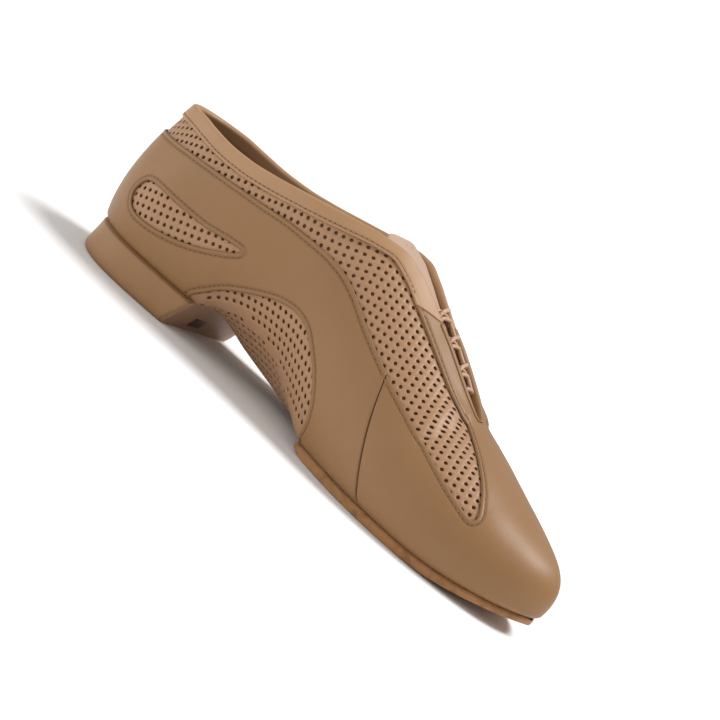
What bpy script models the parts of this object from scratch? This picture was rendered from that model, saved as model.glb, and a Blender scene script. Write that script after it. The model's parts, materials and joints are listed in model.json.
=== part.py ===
"""Left jazz shoe with a split sole, standing empty on its heel and forepart sole.

Metres, +Z up, toe towards +X, lateral (outer) side towards +Y. The upper and all that lies on it are
cut from one last surface. A place on the last is given by its station, the distance from the back of
the heel, by its side, and by how far down the side it lies from the top line.
"""

import math

import bmesh
import bpy
import numpy as np
from mathutils import Vector

MM = 0.001

# Driving sizes of the last
LENGTH = 240 * MM
BALL_WIDTH = 77 * MM
HEEL_WIDTH = 54 * MM
INSTEP_HEIGHT = 78.3 * MM
ARCH_LIFT = 13 * MM
TOE_SPRING = 6 * MM

# Sizes of the pieces
HEEL_HEIGHT = 13 * MM
HEEL_BOTTOM_LENGTH = 60.5 * MM
HEEL_TOP_LENGTH = 66 * MM
HEEL_LIP = 1.4 * MM
HEEL_FLARE = 1.0 * MM
HEEL_ROUNDING = 2.2 * MM
SOLE_THICKNESS = 3 * MM
SOLE_LIP = 0.6 * MM
SOLE_REAR_BULGE = 5 * MM
SOLE_REAR_THIN = 1.4 * MM
SOLE_REAR_TAPER = 9 * MM
WALL = 1.4 * MM
OVERLAY = 0.9 * MM
LASTING_MARGIN = 10 * MM
FEATHER_ROUNDING = 3 * MM
INSOLE_THICKNESS = 1.6 * MM
INSOLE_INSET = 3.6 * MM
TONGUE_THICKNESS = 1.8 * MM
TONGUE_WIDTH = 34 * MM
TONGUE_PEEP = 9 * MM
TONGUE_TUCK = 6.8 * MM
TONGUE_CORNER = 9 * MM
BAND_WIDTH = 5.8 * MM
EYESTAY_WIDTH = 9 * MM
LACE_DIAMETER = 1.6 * MM
LACE_PITCH = 4.8 * MM
LACE_FIRST = 10.7 * MM
LACE_GAP = 0.35 * MM
GAP = 0.3 * MM
OVERLAY_GAP = 0.6 * MM
SEAM_GAP = 0.5 * MM

# Places along the last, which follow its length and the round of its heel
HEEL_PIVOT = HEEL_WIDTH / 2
TOE_PIVOT = 0.867 * LENGTH
ARCH_START = 0.258 * LENGTH
ARCH_END = 0.571 * LENGTH
SOLE_REAR = 0.571 * LENGTH
THROAT_TOP = 0.483 * LENGTH
THROAT_END = 0.734 * LENGTH
SEAM_AT_STRIP = 0.621 * LENGTH
SEAM_AT_FEATHER = 0.733 * LENGTH
EYESTAY_SEAM_AT_SLIT = 0.596 * LENGTH
EYESTAY_SEAM_AT_STRIP = 0.558 * LENGTH
STRIP_TIP = 0.854 * LENGTH
TONGUE_TOP = THROAT_TOP - TONGUE_PEEP
TONGUE_FOOT = THROAT_END + TONGUE_TUCK

LATERAL = 1
MEDIAL = -1
SIDES = (LATERAL, MEDIAL)

# Plan of the feather line: along as a share of LENGTH, the halves as shares of the local width
FEATHER_BACK = (0.0165, 0.0)
FEATHER_TIP = (0.9970, -0.084)
FEATHER_PLAN = (
    # along, lateral, medial
    (0.026, 0.176, 0.176),
    (0.058, 0.357, 0.357),
    (0.112, 0.470, 0.470),
    (0.188, 0.496, 0.474),
    (0.275, 0.497, 0.414),
    (0.375, 0.461, 0.325),
    (0.467, 0.446, 0.300),
    (0.550, 0.462, 0.357),
    (0.625, 0.492, 0.435),
    (0.688, 0.494, 0.482),
    (0.742, 0.470, 0.497),
    (0.812, 0.409, 0.480),
    (0.875, 0.325, 0.424),
    (0.929, 0.221, 0.338),
    (0.971, 0.097, 0.238),
)

# Plan of the top line and slit: along as a share of LENGTH, half the opening as a share of HEEL_WIDTH
OPENING_BACK = 0.0175
OPENING_PLAN = (
    # along, half
    (0.029, 0.160),
    (0.058, 0.276),
    (0.112, 0.380),
    (0.188, 0.452),
    (0.270, 0.484),
    (0.354, 0.470),
    (0.417, 0.400),
    (0.458, 0.315),
    (0.483, 0.243),
    (0.521, 0.172),
    (0.562, 0.130),
    (0.604, 0.115),
    (0.646, 0.111),
    (0.688, 0.102),
    (0.717, 0.076),
    (0.731, 0.036),
)

# Height of the top line, then of the ridge of the vamp, as a share of INSTEP_HEIGHT
TOP_HEIGHT = (
    # along, height
    (0.000, 0.868),
    (0.058, 0.871),
    (0.108, 0.864),
    (0.158, 0.857),
    (0.208, 0.864),
    (0.258, 0.885),
    (0.333, 0.929),
    (0.408, 0.974),
    (0.458, 0.998),
    (0.483, 1.000),
    (0.521, 0.965),
    (0.562, 0.904),
    (0.604, 0.835),
    (0.646, 0.764),
    (0.688, 0.690),
    (0.717, 0.636),
    (0.734, 0.603),
    (0.771, 0.566),
    (0.812, 0.527),
    (0.867, 0.470),
)

# Height of the instep's middle line over the throat, as a share of INSTEP_HEIGHT
RIDGE_HEIGHT = (
    # along, height
    (0.420, 1.085),
    (0.450, 1.062),
    (0.483, 1.032),
    (0.521, 0.989),
    (0.562, 0.924),
    (0.604, 0.853),
    (0.646, 0.779),
    (0.688, 0.702),
    (0.717, 0.642),
    (0.734, 0.603),
)

# Under the waist: fall from heel seat to sole, 0 to 1, then shares of ARCH_LIFT: how far the medial
# fold is lifted, and how far the under side dips from each fold to the turned-in margin
WAIST = (
    # along, fall, lift, dip_lateral, dip_medial
    (0.262, 0.00, 0.00, 0.00, 0.00),
    (0.280, 0.00, 0.08, 0.00, 0.00),
    (0.296, 0.06, 0.36, 0.03, 0.14),
    (0.315, 0.14, 0.60, 0.07, 0.33),
    (0.354, 0.31, 0.90, 0.12, 0.60),
    (0.396, 0.50, 1.00, 0.13, 0.68),
    (0.437, 0.67, 0.95, 0.10, 0.66),
    (0.479, 0.82, 0.70, 0.07, 0.48),
    (0.521, 0.92, 0.40, 0.04, 0.27),
    (0.554, 0.98, 0.14, 0.01, 0.08),
    (0.583, 1.00, 0.00, 0.00, 0.00),
)

# Shape of the side: lean of each wall at the feather and fall of the crown at the top, in degrees,
# and the pull of the curve at either end as a share of its chord
SIDE_SHAPE = (
    # along, lean_lateral, lean_medial, crown, pull_low, pull_high
    (0.000, 73, 73, 76, 0.33, 0.33),
    (0.112, 72, 72, 77, 0.33, 0.33),
    (0.188, 72, 72, 80, 0.33, 0.33),
    (0.275, 74, 70, 82, 0.33, 0.33),
    (0.354, 76, 62, 76, 0.35, 0.33),
    (0.417, 77, 60, 62, 0.36, 0.34),
    (0.483, 78, 61, 42, 0.36, 0.38),
    (0.521, 79, 65, 34, 0.36, 0.42),
    (0.562, 80, 70, 28, 0.36, 0.45),
    (0.604, 80, 74, 24, 0.36, 0.46),
    (0.646, 80, 77, 20, 0.36, 0.48),
    (0.688, 79, 78, 14, 0.37, 0.49),
    (0.734, 78, 78, 0, 0.38, 0.50),
    (0.867, 77, 77, 0, 0.42, 0.52),
    (1.000, 80, 80, 0, 0.44, 0.50),
)

# Height of the quarter's upper edge as a share of INSTEP_HEIGHT; past the seam it is the vamp's
QUARTER_EDGE = (
    # along, height
    (0.000, 0.690),
    (0.080, 0.705),
    (0.182, 0.735),
    (0.277, 0.765),
    (0.350, 0.788),
    (0.410, 0.790),
    (0.450, 0.776),
    (0.480, 0.750),
    (0.510, 0.708),
    (0.545, 0.655),
    (0.590, 0.595),
    (0.642, 0.535),
    (0.727, 0.450),
    (0.762, 0.415),
    (0.833, 0.350),
    (0.880, 0.315),
    (1.000, 0.290),
)

# Width of the leather between the slit or ridge and the perforated strip, as a share of EYESTAY_WIDTH
VAMP_CENTRE = (
    # along, width
    (0.562, 0.98),
    (0.604, 1.00),
    (0.688, 1.02),
    (0.734, 1.16),
    (0.771, 1.50),
    (0.812, 2.00),
    (0.846, 2.55),
    (0.880, 3.60),
    (1.000, 8.00),
)

# Lower edge of the quarter over the arch, height as a share of INSTEP_HEIGHT
ARCH_CUT = (
    # along, height
    (0.262, 0.190),
    (0.304, 0.320),
    (0.358, 0.415),
    (0.400, 0.470),
    (0.432, 0.492),
    (0.460, 0.480),
    (0.492, 0.425),
    (0.525, 0.350),
    (0.555, 0.250),
    (0.572, 0.155),
)

# Drop-shaped window of each side: along as a share of LENGTH, height as a share of INSTEP_HEIGHT
DROP_WINDOW = (
    # along, height
    (0.084, 0.470),
    (0.077, 0.400),
    (0.094, 0.338),
    (0.130, 0.325),
    (0.205, 0.372),
    (0.265, 0.455),
    (0.302, 0.532),
    (0.225, 0.500),
    (0.145, 0.492),
    (0.097, 0.488),
)

LEATHER = (0.347, 0.198, 0.098, 1.0)
PERFORATED = (0.485, 0.283, 0.166, 1.0)
INNER_CLOTH = (0.09, 0.045, 0.028, 1.0)
SUEDE = (0.38, 0.20, 0.085, 1.0)
TONGUE_TAN = (0.484, 0.356, 0.291, 1.0)

FAN_STEPS = 10
PACE = 5.6 * MM
SIDE_STEPS = 48
CORNER_STEPS = 6
MARGIN_STEPS = 2
BOTTOM_ROWS = 6


def clear_scene():
    for thing in list(bpy.data.objects):
        bpy.data.objects.remove(thing, do_unlink=True)


def smooth(places, values):
    """A smooth curve through a table's rows that never overshoots them."""
    places = np.array(places, float)
    values = np.array(values, float)
    rise = np.diff(values) / np.diff(places)
    slope = np.zeros(len(values))
    slope[0] = rise[0]
    slope[-1] = rise[-1]
    turning = rise[:-1] * rise[1:] > 0
    mean = 2 * rise[:-1] * rise[1:] / np.where(turning, rise[:-1] + rise[1:], 1)
    slope[1:-1] = np.where(turning, mean, 0)

    def read(place):
        at = min(max(place, places[0]), places[-1])
        row = min(max(int(np.searchsorted(places, at)) - 1, 0), len(places) - 2)
        span = places[row + 1] - places[row]
        t = (at - places[row]) / span
        return float(
            values[row] * (1 + 2 * t) * (1 - t) ** 2
            + values[row + 1] * t * t * (3 - 2 * t)
            + slope[row] * span * t * (1 - t) ** 2
            - slope[row + 1] * span * t * t * (1 - t)
        )

    return read


def share_curve(table, number, size):
    """Column of a table as a function of the station in metres."""
    shares = smooth([row[0] for row in table], [row[number] for row in table])
    return lambda station: size * shares(station / LENGTH)


def closed_curve(points, steps=24):
    """A smooth closed curve through points, as an array of points."""
    points = np.array(points, float)
    count = len(points)
    curve = []
    for i in range(count):
        four = [points[(i + k - 1) % count] for k in range(4)]
        knots = [0.0]
        for a, b in zip(four, four[1:]):
            knots.append(knots[-1] + math.sqrt(np.linalg.norm(b - a)))
        for t in np.linspace(knots[1], knots[2], steps, endpoint=False):
            level = four
            for depth in (1, 2, 3):
                level = [
                    (level[k] * (knots[k + depth] - t) + level[k + 1] * (t - knots[k]))
                    / (knots[k + depth] - knots[k])
                    for k in range(4 - depth)
                ]
            curve.append(level[0])
    return np.array(curve)


def bezier(a, b, c, d, steps):
    """Points of a cubic curve from a to d, both ends included."""
    t = np.linspace(0, 1, steps + 1)[:, None]
    a, b, c, d = (np.array(p, float) for p in (a, b, c, d))
    return a * (1 - t) ** 3 + 3 * b * t * (1 - t) ** 2 + 3 * c * t * t * (1 - t) + d * t**3


def local_width(station):
    """Width that the feather plan's shares refer to: the heel's, growing to the ball's."""
    t = min(max((station / LENGTH - 0.25) / 0.35, 0), 1)
    return HEEL_WIDTH + (BALL_WIDTH - HEEL_WIDTH) * t * t * (3 - 2 * t)


def feather_outline():
    def place(along, half):
        return (along * LENGTH, half * local_width(along * LENGTH))

    lateral = [place(row[0], row[1]) for row in FEATHER_PLAN]
    medial = [place(row[0], -row[2]) for row in reversed(FEATHER_PLAN)]
    return closed_curve([place(*FEATHER_BACK)] + lateral + [place(*FEATHER_TIP)] + medial)


def opening_outline():
    def place(row, side):
        return (row[0] * LENGTH, side * row[1] * HEEL_WIDTH + centre(row[0] * LENGTH))

    lateral = [place(row, LATERAL) for row in OPENING_PLAN]
    medial = [place(row, MEDIAL) for row in reversed(OPENING_PLAN)]
    back = (OPENING_BACK * LENGTH, 0)
    return closed_curve([back] + lateral + [(THROAT_END, centre(THROAT_END))] + medial)


centre_share = smooth((0, 0.55, 0.734, 0.867, 1), (0, 0, -0.013, -0.052, -0.052))
top_height = share_curve(TOP_HEIGHT, 1, INSTEP_HEIGHT)
ridge_height = share_curve(RIDGE_HEIGHT, 1, INSTEP_HEIGHT)
fall = share_curve(WAIST, 1, 1)
lift = share_curve(WAIST, 2, ARCH_LIFT)
dip = {LATERAL: share_curve(WAIST, 3, ARCH_LIFT), MEDIAL: share_curve(WAIST, 4, ARCH_LIFT)}
lean = {LATERAL: share_curve(SIDE_SHAPE, 1, 1), MEDIAL: share_curve(SIDE_SHAPE, 2, 1)}
crown = share_curve(SIDE_SHAPE, 3, 1)
pull_low = share_curve(SIDE_SHAPE, 4, 1)
pull_high = share_curve(SIDE_SHAPE, 5, 1)
quarter_edge = share_curve(QUARTER_EDGE, 1, INSTEP_HEIGHT)
centre_width = share_curve(VAMP_CENTRE, 1, EYESTAY_WIDTH)
arch_cut = share_curve(ARCH_CUT, 1, INSTEP_HEIGHT)


def centre(station):
    """Sideways place of the last's middle line."""
    return centre_share(station / LENGTH) * BALL_WIDTH


def spring(station):
    """Height that the toe spring gives the sole's under side."""
    return TOE_SPRING * max(0, (station / LENGTH - 0.81) / 0.19) ** 1.8


def seat_height(station, side):
    """Height of the upper's under side at the feather line, before the toe spring."""
    high = HEEL_HEIGHT + GAP
    low = SOLE_THICKNESS + GAP
    raised = lift(station) if side == MEDIAL else 0
    return high + (low - high) * fall(station) + raised


FEATHER = feather_outline()
OPENING = opening_outline()


def half_width(outline, station, side):
    """Distance from the middle line to an outline, across the last."""
    tip = outline[:, 0].argmax()
    part = outline[: tip + 1] if side == LATERAL else np.vstack([outline[tip:], outline[:1]])[::-1]
    return abs(float(np.interp(station, part[:, 0], part[:, 1])) - centre(station))


def reach(outline, pivot, way):
    """Distance from a pivot to an outline along a direction."""
    away = outline - np.array(pivot)
    angles = np.arctan2(away[:, 1], away[:, 0])
    order = angles.argsort()
    radii = np.hypot(away[:, 0], away[:, 1])[order]
    angle = math.atan2(way[1], way[0])
    return float(np.interp(angle, angles[order], radii, period=2 * math.pi))


def section_frame(station, side):
    """Pivot and outward direction of the upright plane that holds a station's section."""
    if station < HEEL_PIVOT:
        angle = math.acos((HEEL_PIVOT - station) / HEEL_PIVOT)
        return (HEEL_PIVOT, 0.0), (-math.cos(angle), side * math.sin(angle))
    if station > TOE_PIVOT:
        angle = math.asin(min(1, (station - TOE_PIVOT) / (LENGTH - TOE_PIVOT)))
        return (TOE_PIVOT, centre(TOE_PIVOT)), (math.sin(angle), side * math.cos(angle))
    return (station, centre(station)), (0.0, float(side))


def section(station, side):
    """One half section from the top line or ridge down the side, round the feather, to the margin."""
    pivot, way = section_frame(station, side)
    fanned = station < HEEL_PIVOT or station > TOE_PIVOT
    if fanned:
        foot = reach(FEATHER, pivot, way)
    else:
        foot = half_width(FEATHER, station, side)
    seat = seat_height(station, side)
    sink = dip[side](station)
    inner = np.array([foot - LASTING_MARGIN, seat - sink])
    corner = np.array([foot, seat])
    inward = (inner - corner) / np.linalg.norm(inner - corner)
    angle = math.radians(lean[side](station))
    upward = np.array([math.cos(angle), math.sin(angle)])
    under = corner + inward * FEATHER_ROUNDING
    start = corner + upward * FEATHER_ROUNDING
    sprung = start + (0, spring(pivot[0] + start[0] * way[0]))

    if station >= THROAT_END:
        at = min(station, TOE_PIVOT)
        slope = (top_height(TOE_PIVOT) - top_height(TOE_PIVOT - MM)) / MM
        top = np.array([0.0, top_height(at)])
        outward = np.array([1.0, slope * way[0]])
    else:
        half = reach(OPENING, pivot, way) if fanned else half_width(OPENING, station, side)
        top = np.array([half, top_height(station)])
        angle = math.radians(crown(station))
        outward = np.array([math.cos(angle), -math.sin(angle)])
    chord = np.linalg.norm(top - sprung)
    high = top + outward * chord * pull_high(station)
    low = sprung + upward * chord * pull_low(station)
    side_part = bezier(top, high, low, sprung, SIDE_STEPS)
    half_round = 0.55 * FEATHER_ROUNDING
    corner_part = bezier(
        start, start - upward * half_round, under - inward * half_round, under, CORNER_STEPS
    )
    margin_part = np.linspace(under, inner, MARGIN_STEPS + 1)
    turned_in = np.vstack([corner_part[1:], margin_part[1:]])
    turned_in[:, 1] += [spring(pivot[0] + r * way[0]) for r in turned_in[:, 0]]
    return np.vstack([side_part, turned_in]), pivot, way


def station_list():
    """Stations of the fine sheet from which every piece is cut."""
    turn = np.linspace(0, math.pi / 2, 25)
    back = HEEL_PIVOT * (1 - np.cos(turn))
    front = TOE_PIVOT + (LENGTH - TOE_PIVOT) * np.sin(turn)
    steps = round((TOE_PIVOT - HEEL_PIVOT) / MM)
    between = np.linspace(HEEL_PIVOT, TOE_PIVOT, steps + 1)[1:-1]
    return np.concatenate([back, between, front])


STATIONS = station_list()


def last_sheet(side):
    """Points of one half of the last, station by station, and their outward normals."""
    points = []
    for station in STATIONS:
        flat, pivot, way = section(station, side)
        x = pivot[0] + flat[:, 0] * way[0]
        y = pivot[1] + flat[:, 0] * way[1]
        points.append(np.stack([x, y, flat[:, 1]], axis=1))
    points = np.array(points)
    normals = np.cross(np.gradient(points, axis=0), np.gradient(points, axis=1)) * side
    length = np.linalg.norm(normals, axis=2, keepdims=True)
    normals = normals / np.maximum(length, 1e-12)
    first_fan = int(np.searchsorted(STATIONS, TOE_PIVOT))
    normals[first_fan:, 0] = normals[first_fan - 2, 0]
    middle = normals[:, 0] * (STATIONS >= THROAT_END)[:, None]
    normals[:, 0] = np.where(middle.any(axis=1, keepdims=True), middle * (1, 0, 1), normals[:, 0])
    normals[0, :, 1] = 0
    normals[-1, :, 1] = 0
    return points, normals / np.linalg.norm(normals, axis=2, keepdims=True)


SHEETS = {side: last_sheet(side) for side in SIDES}
for end in (0, -1):
    for lateral, medial in zip(SHEETS[LATERAL], SHEETS[MEDIAL]):
        medial[end] = lateral[end]


def read_sheet(grid, station, row):
    """A value between the rows and stations of a sheet."""
    at = float(np.interp(station, STATIONS, np.arange(len(STATIONS))))
    i = min(int(at), len(STATIONS) - 2)
    j = min(int(row), grid.shape[1] - 2)
    s, t = at - i, row - j
    near = grid[i, j] * (1 - t) + grid[i, j + 1] * t
    far = grid[i + 1, j] * (1 - t) + grid[i + 1, j + 1] * t
    return near * (1 - s) + far * s


def on_last(side, station, row, out=0.0):
    """A point on the last, or a distance outside it."""
    points, normals = SHEETS[side]
    place = read_sheet(points, station, row)
    if out == 0.0:
        return place
    normal = read_sheet(normals, station, row)
    return place + normal / np.linalg.norm(normal) * out


def row_at_height(side, station, height):
    """Row of the side that lies at a height."""
    rows = np.arange(SIDE_STEPS + 1)
    heights = [read_sheet(SHEETS[side][0], station, row)[2] for row in rows]
    return float(np.interp(-height, -np.array(heights), rows))


def row_at_girth(side, station, girth):
    """Row of the side that lies a distance down from the top line."""
    rows = np.arange(SIDE_STEPS + 1)
    line = np.array([read_sheet(SHEETS[side][0], station, row) for row in rows])
    steps = np.linalg.norm(np.diff(line, axis=0), axis=1)
    return float(np.interp(girth, np.concatenate([[0], np.cumsum(steps)]), rows))


def material(name, colour, roughness):
    made = bpy.data.materials.new(name)
    made.use_nodes = True
    shader = made.node_tree.nodes["Principled BSDF"]
    shader.inputs["Base Color"].default_value = colour
    shader.inputs["Roughness"].default_value = roughness
    shader.inputs["Metallic"].default_value = 0.0
    return made


def new_object(name, form, collection, made=None):
    """An object from a bmesh, with its faces pointing out."""
    bmesh.ops.remove_doubles(form, verts=form.verts, dist=1e-6)
    bmesh.ops.dissolve_degenerate(form, edges=form.edges, dist=1e-6)
    bmesh.ops.recalc_face_normals(form, faces=form.faces)
    mesh = bpy.data.meshes.new(name)
    form.to_mesh(mesh)
    form.free()
    mesh.shade_smooth()
    thing = bpy.data.objects.new(name, mesh)
    collection.objects.link(thing)
    if made:
        mesh.materials.append(made)
    return thing


def add_grid(form, rows):
    """Faces between rows of points of equal length."""
    lines = [[form.verts.new(point) for point in row] for row in rows]
    for a, b in zip(lines, lines[1:]):
        for k in range(len(a) - 1):
            form.faces.new((a[k], a[k + 1], b[k + 1], b[k]))


def solidify_up(thing, thickness):
    """Thicken a lying sheet upwards, or downwards by a negative thickness."""
    mesh = thing.data
    if sum(face.normal.z * face.area for face in mesh.polygons) < 0:
        mesh.flip_normals()
    wall = thing.modifiers.new("wall", "SOLIDIFY")
    wall.thickness = abs(thickness)
    wall.offset = math.copysign(1.0, thickness)


def solidify_inward(thing, thickness):
    """Thicken a sheet of the shoe's outside towards the foot."""
    mesh = thing.data
    foot = Vector((LENGTH / 2, 0, INSTEP_HEIGHT / 3))
    if sum((face.center - foot).dot(face.normal) * face.area for face in mesh.polygons) < 0:
        mesh.flip_normals()
    wall = thing.modifiers.new("wall", "SOLIDIFY")
    wall.thickness = thickness
    wall.offset = -1.0


def triangulate(thing):
    thing.modifiers.new("triangles", "TRIANGULATE")


def fan_stations(first, last):
    """Stations of a piece from first to last: even turns in the fans, even steps between them."""
    turn = np.linspace(0, math.pi / 2, FAN_STEPS)
    back = HEEL_PIVOT * (1 - np.cos(turn))
    front = TOE_PIVOT + (LENGTH - TOE_PIVOT) * np.sin(turn)
    marks = sorted({HEEL_PIVOT, ARCH_START, ARCH_END, THROAT_TOP, THROAT_END, TOE_PIVOT})
    middle = []
    for a, b in zip(marks, marks[1:]):
        steps = max(1, round((b - a) / PACE))
        middle.extend(np.linspace(a, b, steps, endpoint=False))
    slit_end = [THROAT_END - gap * MM for gap in (3.0, 1.2, 0.3)]
    every = sorted(list(back[:-1]) + middle + slit_end + list(front))
    inner = [s for s in every if first + MM < s < last - MM]
    return [first] + inner + [last]


def model_upper(collection, made):
    """Perforated base of the shoe: one hollow shell with a turned-in margin and a closed arch."""
    form = bmesh.new()
    stations = fan_stations(0, LENGTH)
    side_rows = list(SIDE_STEPS * np.array((0, 0.08, 0.2, 0.34, 0.48, 0.62, 0.76, 0.89, 1)))
    corner_rows = [SIDE_STEPS + k for k in (2, 4, 6)]
    rows = side_rows + corner_rows + [SIDE_STEPS + CORNER_STEPS + MARGIN_STEPS]
    for side in SIDES:
        add_grid(form, [[on_last(side, s, r) for r in rows] for s in stations])
    waist = [s for s in stations if ARCH_START - MM < s < ARCH_END + MM]
    add_grid(form, [under_waist(s) for s in waist])
    upper = new_object("upper", form, collection, made)
    solidify_inward(upper, WALL)
    return upper


def under_waist(station):
    """Line across the closed under side of the waist, from margin to margin."""
    last_row = SIDE_STEPS + CORNER_STEPS + MARGIN_STEPS
    ends = []
    for side in SIDES:
        edge = on_last(side, station, last_row)
        before = on_last(side, station, last_row - MARGIN_STEPS)
        ends.append((edge, (edge - before) / np.linalg.norm(edge - before)))
    (a, out_a), (b, out_b) = ends
    pull = np.linalg.norm(a - b) / 3
    return bezier(a, a + out_a * pull, b + out_b * pull, b, BOTTOM_ROWS)


def seam_fade(station, seam, clear):
    """How much of a seam's slant a station keeps: all at the seam, none where it is clear of it."""
    return max(0, 1 - (station - seam) / (clear - seam))


def edge_rows(side, station):
    """Rows of the strip's upper and lower edge at a station."""
    lower = row_at_height(side, station, quarter_edge(station))
    widened = VAMP_CENTRE[0][0] * LENGTH
    if station <= THROAT_TOP:
        width = BAND_WIDTH
    elif station < widened:
        share = (station - THROAT_TOP) / (widened - THROAT_TOP)
        width = BAND_WIDTH + (centre_width(station) - BAND_WIDTH) * share
    else:
        width = centre_width(station)
    return min(row_at_girth(side, station, width), lower), lower


def quarter_foot(side, station):
    """Row of the quarter's lower edge: over the heel and sole, or round the arch."""
    if ARCH_CUT[0][0] * LENGTH < station < ARCH_CUT[-1][0] * LENGTH:
        return row_at_height(side, station, arch_cut(station))
    return float(SIDE_STEPS)


def model_quarter(collection, cutters, made):
    """Smooth leather round the heel and sides, from the lap over the vamp on either side."""
    form = bmesh.new()
    steps = np.linspace(0, 1, 7)
    before_arch = ARCH_CUT[0][0] * LENGTH - 0.4 * MM
    marks = fan_stations(0, SEAM_AT_FEATHER) + [before_arch]
    shares = sorted(mark / SEAM_AT_FEATHER for mark in marks)
    for side in SIDES:
        lines = []
        for share in shares:
            line = []
            for step in steps:
                place = share * (SEAM_AT_STRIP + (SEAM_AT_FEATHER - SEAM_AT_STRIP) * step)
                top = edge_rows(side, place)[1]
                foot = quarter_foot(side, place)
                line.append(on_last(side, place, top + (foot - top) * step, OVERLAY_GAP + OVERLAY))
            lines.append(line)
        add_grid(form, lines)
    quarter = new_object("quarter", form, collection, made)
    solidify_inward(quarter, OVERLAY)
    for side, word in ((LATERAL, "lateral"), (MEDIAL, "medial")):
        window = quarter.modifiers.new("window " + word, "BOOLEAN")
        window.operation = "DIFFERENCE"
        window.object = drop_cutter(word, side, cutters)
    triangulate(quarter)
    return quarter


def drop_cutter(word, side, cutters):
    """Upright prism through one side wall, with the outline of the drop-shaped window."""
    outline = closed_curve([(a * LENGTH, h * INSTEP_HEIGHT) for a, h in DROP_WINDOW], 4)
    form = bmesh.new()
    near = side * HEEL_WIDTH * 0.08
    face = form.faces.new([form.verts.new((x, near, z)) for x, z in outline])
    grown = bmesh.ops.extrude_face_region(form, geom=[face])
    moved = [v for v in grown["geom"] if isinstance(v, bmesh.types.BMVert)]
    bmesh.ops.translate(form, verts=moved, vec=(0, side * HEEL_WIDTH, 0))
    cutter = new_object("cut window " + word, form, cutters)
    cutter.hide_render = True
    cutter.display_type = "WIRE"
    return cutter


def model_vamp(collection, made):
    """Smooth leather of toe, forepart sides and lower eyestays, open along the perforated strips."""
    form = bmesh.new()
    out = OVERLAY_GAP + OVERLAY
    for side in SIDES:
        steps = np.linspace(0, 1, 8)
        lines = []
        for mark in fan_stations(EYESTAY_SEAM_AT_SLIT, LENGTH):
            fade = seam_fade(mark, EYESTAY_SEAM_AT_SLIT, STRIP_TIP)
            slant = (EYESTAY_SEAM_AT_STRIP - EYESTAY_SEAM_AT_SLIT) * fade
            line = []
            for step in steps:
                place = mark + slant * step + SEAM_GAP * fade
                line.append(on_last(side, place, edge_rows(side, place)[0] * step, out))
            lines.append(line)
        add_grid(form, lines)
        lines = []
        for mark in fan_stations(SEAM_AT_FEATHER, LENGTH):
            fade = seam_fade(mark, SEAM_AT_FEATHER, STRIP_TIP)
            slant = (SEAM_AT_STRIP - SEAM_AT_FEATHER) * fade
            line = []
            for step in steps:
                place = mark + slant * (1 - step) + SEAM_GAP * fade
                top = edge_rows(side, place)[1]
                line.append(on_last(side, place, top + (SIDE_STEPS - top) * step, out))
            lines.append(line)
        add_grid(form, lines)
    vamp = new_object("vamp", form, collection, made)
    solidify_inward(vamp, OVERLAY)
    return vamp


def model_collar(collection, made):
    """Band round the top line, with the upper eyestays down to their seams."""
    form = bmesh.new()
    steps = np.linspace(0, 1, 3)
    for side in SIDES:
        lines = []
        for mark in fan_stations(0, EYESTAY_SEAM_AT_SLIT):
            fade = seam_fade(mark, EYESTAY_SEAM_AT_SLIT, THROAT_TOP)
            slant = (EYESTAY_SEAM_AT_STRIP - EYESTAY_SEAM_AT_SLIT) * fade
            line = []
            for step in steps:
                place = mark + slant * step
                row = edge_rows(side, place)[0] * step
                line.append(on_last(side, place, row, OVERLAY_GAP + OVERLAY))
            lines.append(line)
        add_grid(form, lines)
    collar = new_object("collar", form, collection, made)
    solidify_inward(collar, OVERLAY)
    return collar


def heel_level(height, grow, length):
    """One level of the heel block, from the lateral breast corner round the back."""
    points = []
    turn = np.linspace(0, math.pi / 2, FAN_STEPS)
    stations = list(HEEL_PIVOT * (1 - np.cos(turn))) + [
        HEEL_PIVOT + (length - HEEL_PIVOT) * share for share in (0.25, 0.5, 0.75, 1)
    ]
    for side, order in ((LATERAL, reversed(stations)), (MEDIAL, stations[1:])):
        for station in order:
            pivot, way = section_frame(station, side)
            if station < HEEL_PIVOT:
                out = reach(FEATHER, pivot, way) + grow
            else:
                out = half_width(FEATHER, station, side) + grow
            points.append((pivot[0] + way[0] * out, pivot[1] + way[1] * out, height))
    return points


def model_heel(collection, made):
    """Low covered block, flat on the floor, with a breast that slants back to the bottom."""
    form = bmesh.new()
    levels = (
        # height, grow, length share from bottom to top
        (0, HEEL_LIP + HEEL_FLARE - HEEL_ROUNDING * 0.6, 0),
        (HEEL_ROUNDING * 0.3, HEEL_LIP + HEEL_FLARE - HEEL_ROUNDING * 0.2, 0.05),
        (HEEL_ROUNDING, HEEL_LIP + HEEL_FLARE, 0.15),
        (HEEL_HEIGHT * 0.55, HEEL_LIP + HEEL_FLARE * 0.4, 0.55),
        (HEEL_HEIGHT - HEEL_ROUNDING * 0.4, HEEL_LIP, 0.97),
        (HEEL_HEIGHT, HEEL_LIP - HEEL_ROUNDING * 0.25, 1),
    )
    rings = []
    for height, grow, share in levels:
        length = HEEL_BOTTOM_LENGTH + (HEEL_TOP_LENGTH - HEEL_BOTTOM_LENGTH) * share
        rings.append([form.verts.new(p) for p in heel_level(height, grow, length)])
    for low, high in zip(rings, rings[1:]):
        for k in range(len(low)):
            after = (k + 1) % len(low)
            form.faces.new((low[k], low[after], high[after], high[k]))
    form.faces.new(rings[0])
    form.faces.new(rings[-1])
    return new_object("heel", form, collection, made)


def grown_outline(distance):
    """The feather line moved outwards."""
    ahead = np.roll(FEATHER, -1, axis=0) - np.roll(FEATHER, 1, axis=0)
    normal = np.stack([-ahead[:, 1], ahead[:, 0]], axis=1)
    return FEATHER + normal / np.linalg.norm(normal, axis=1, keepdims=True) * distance


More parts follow.
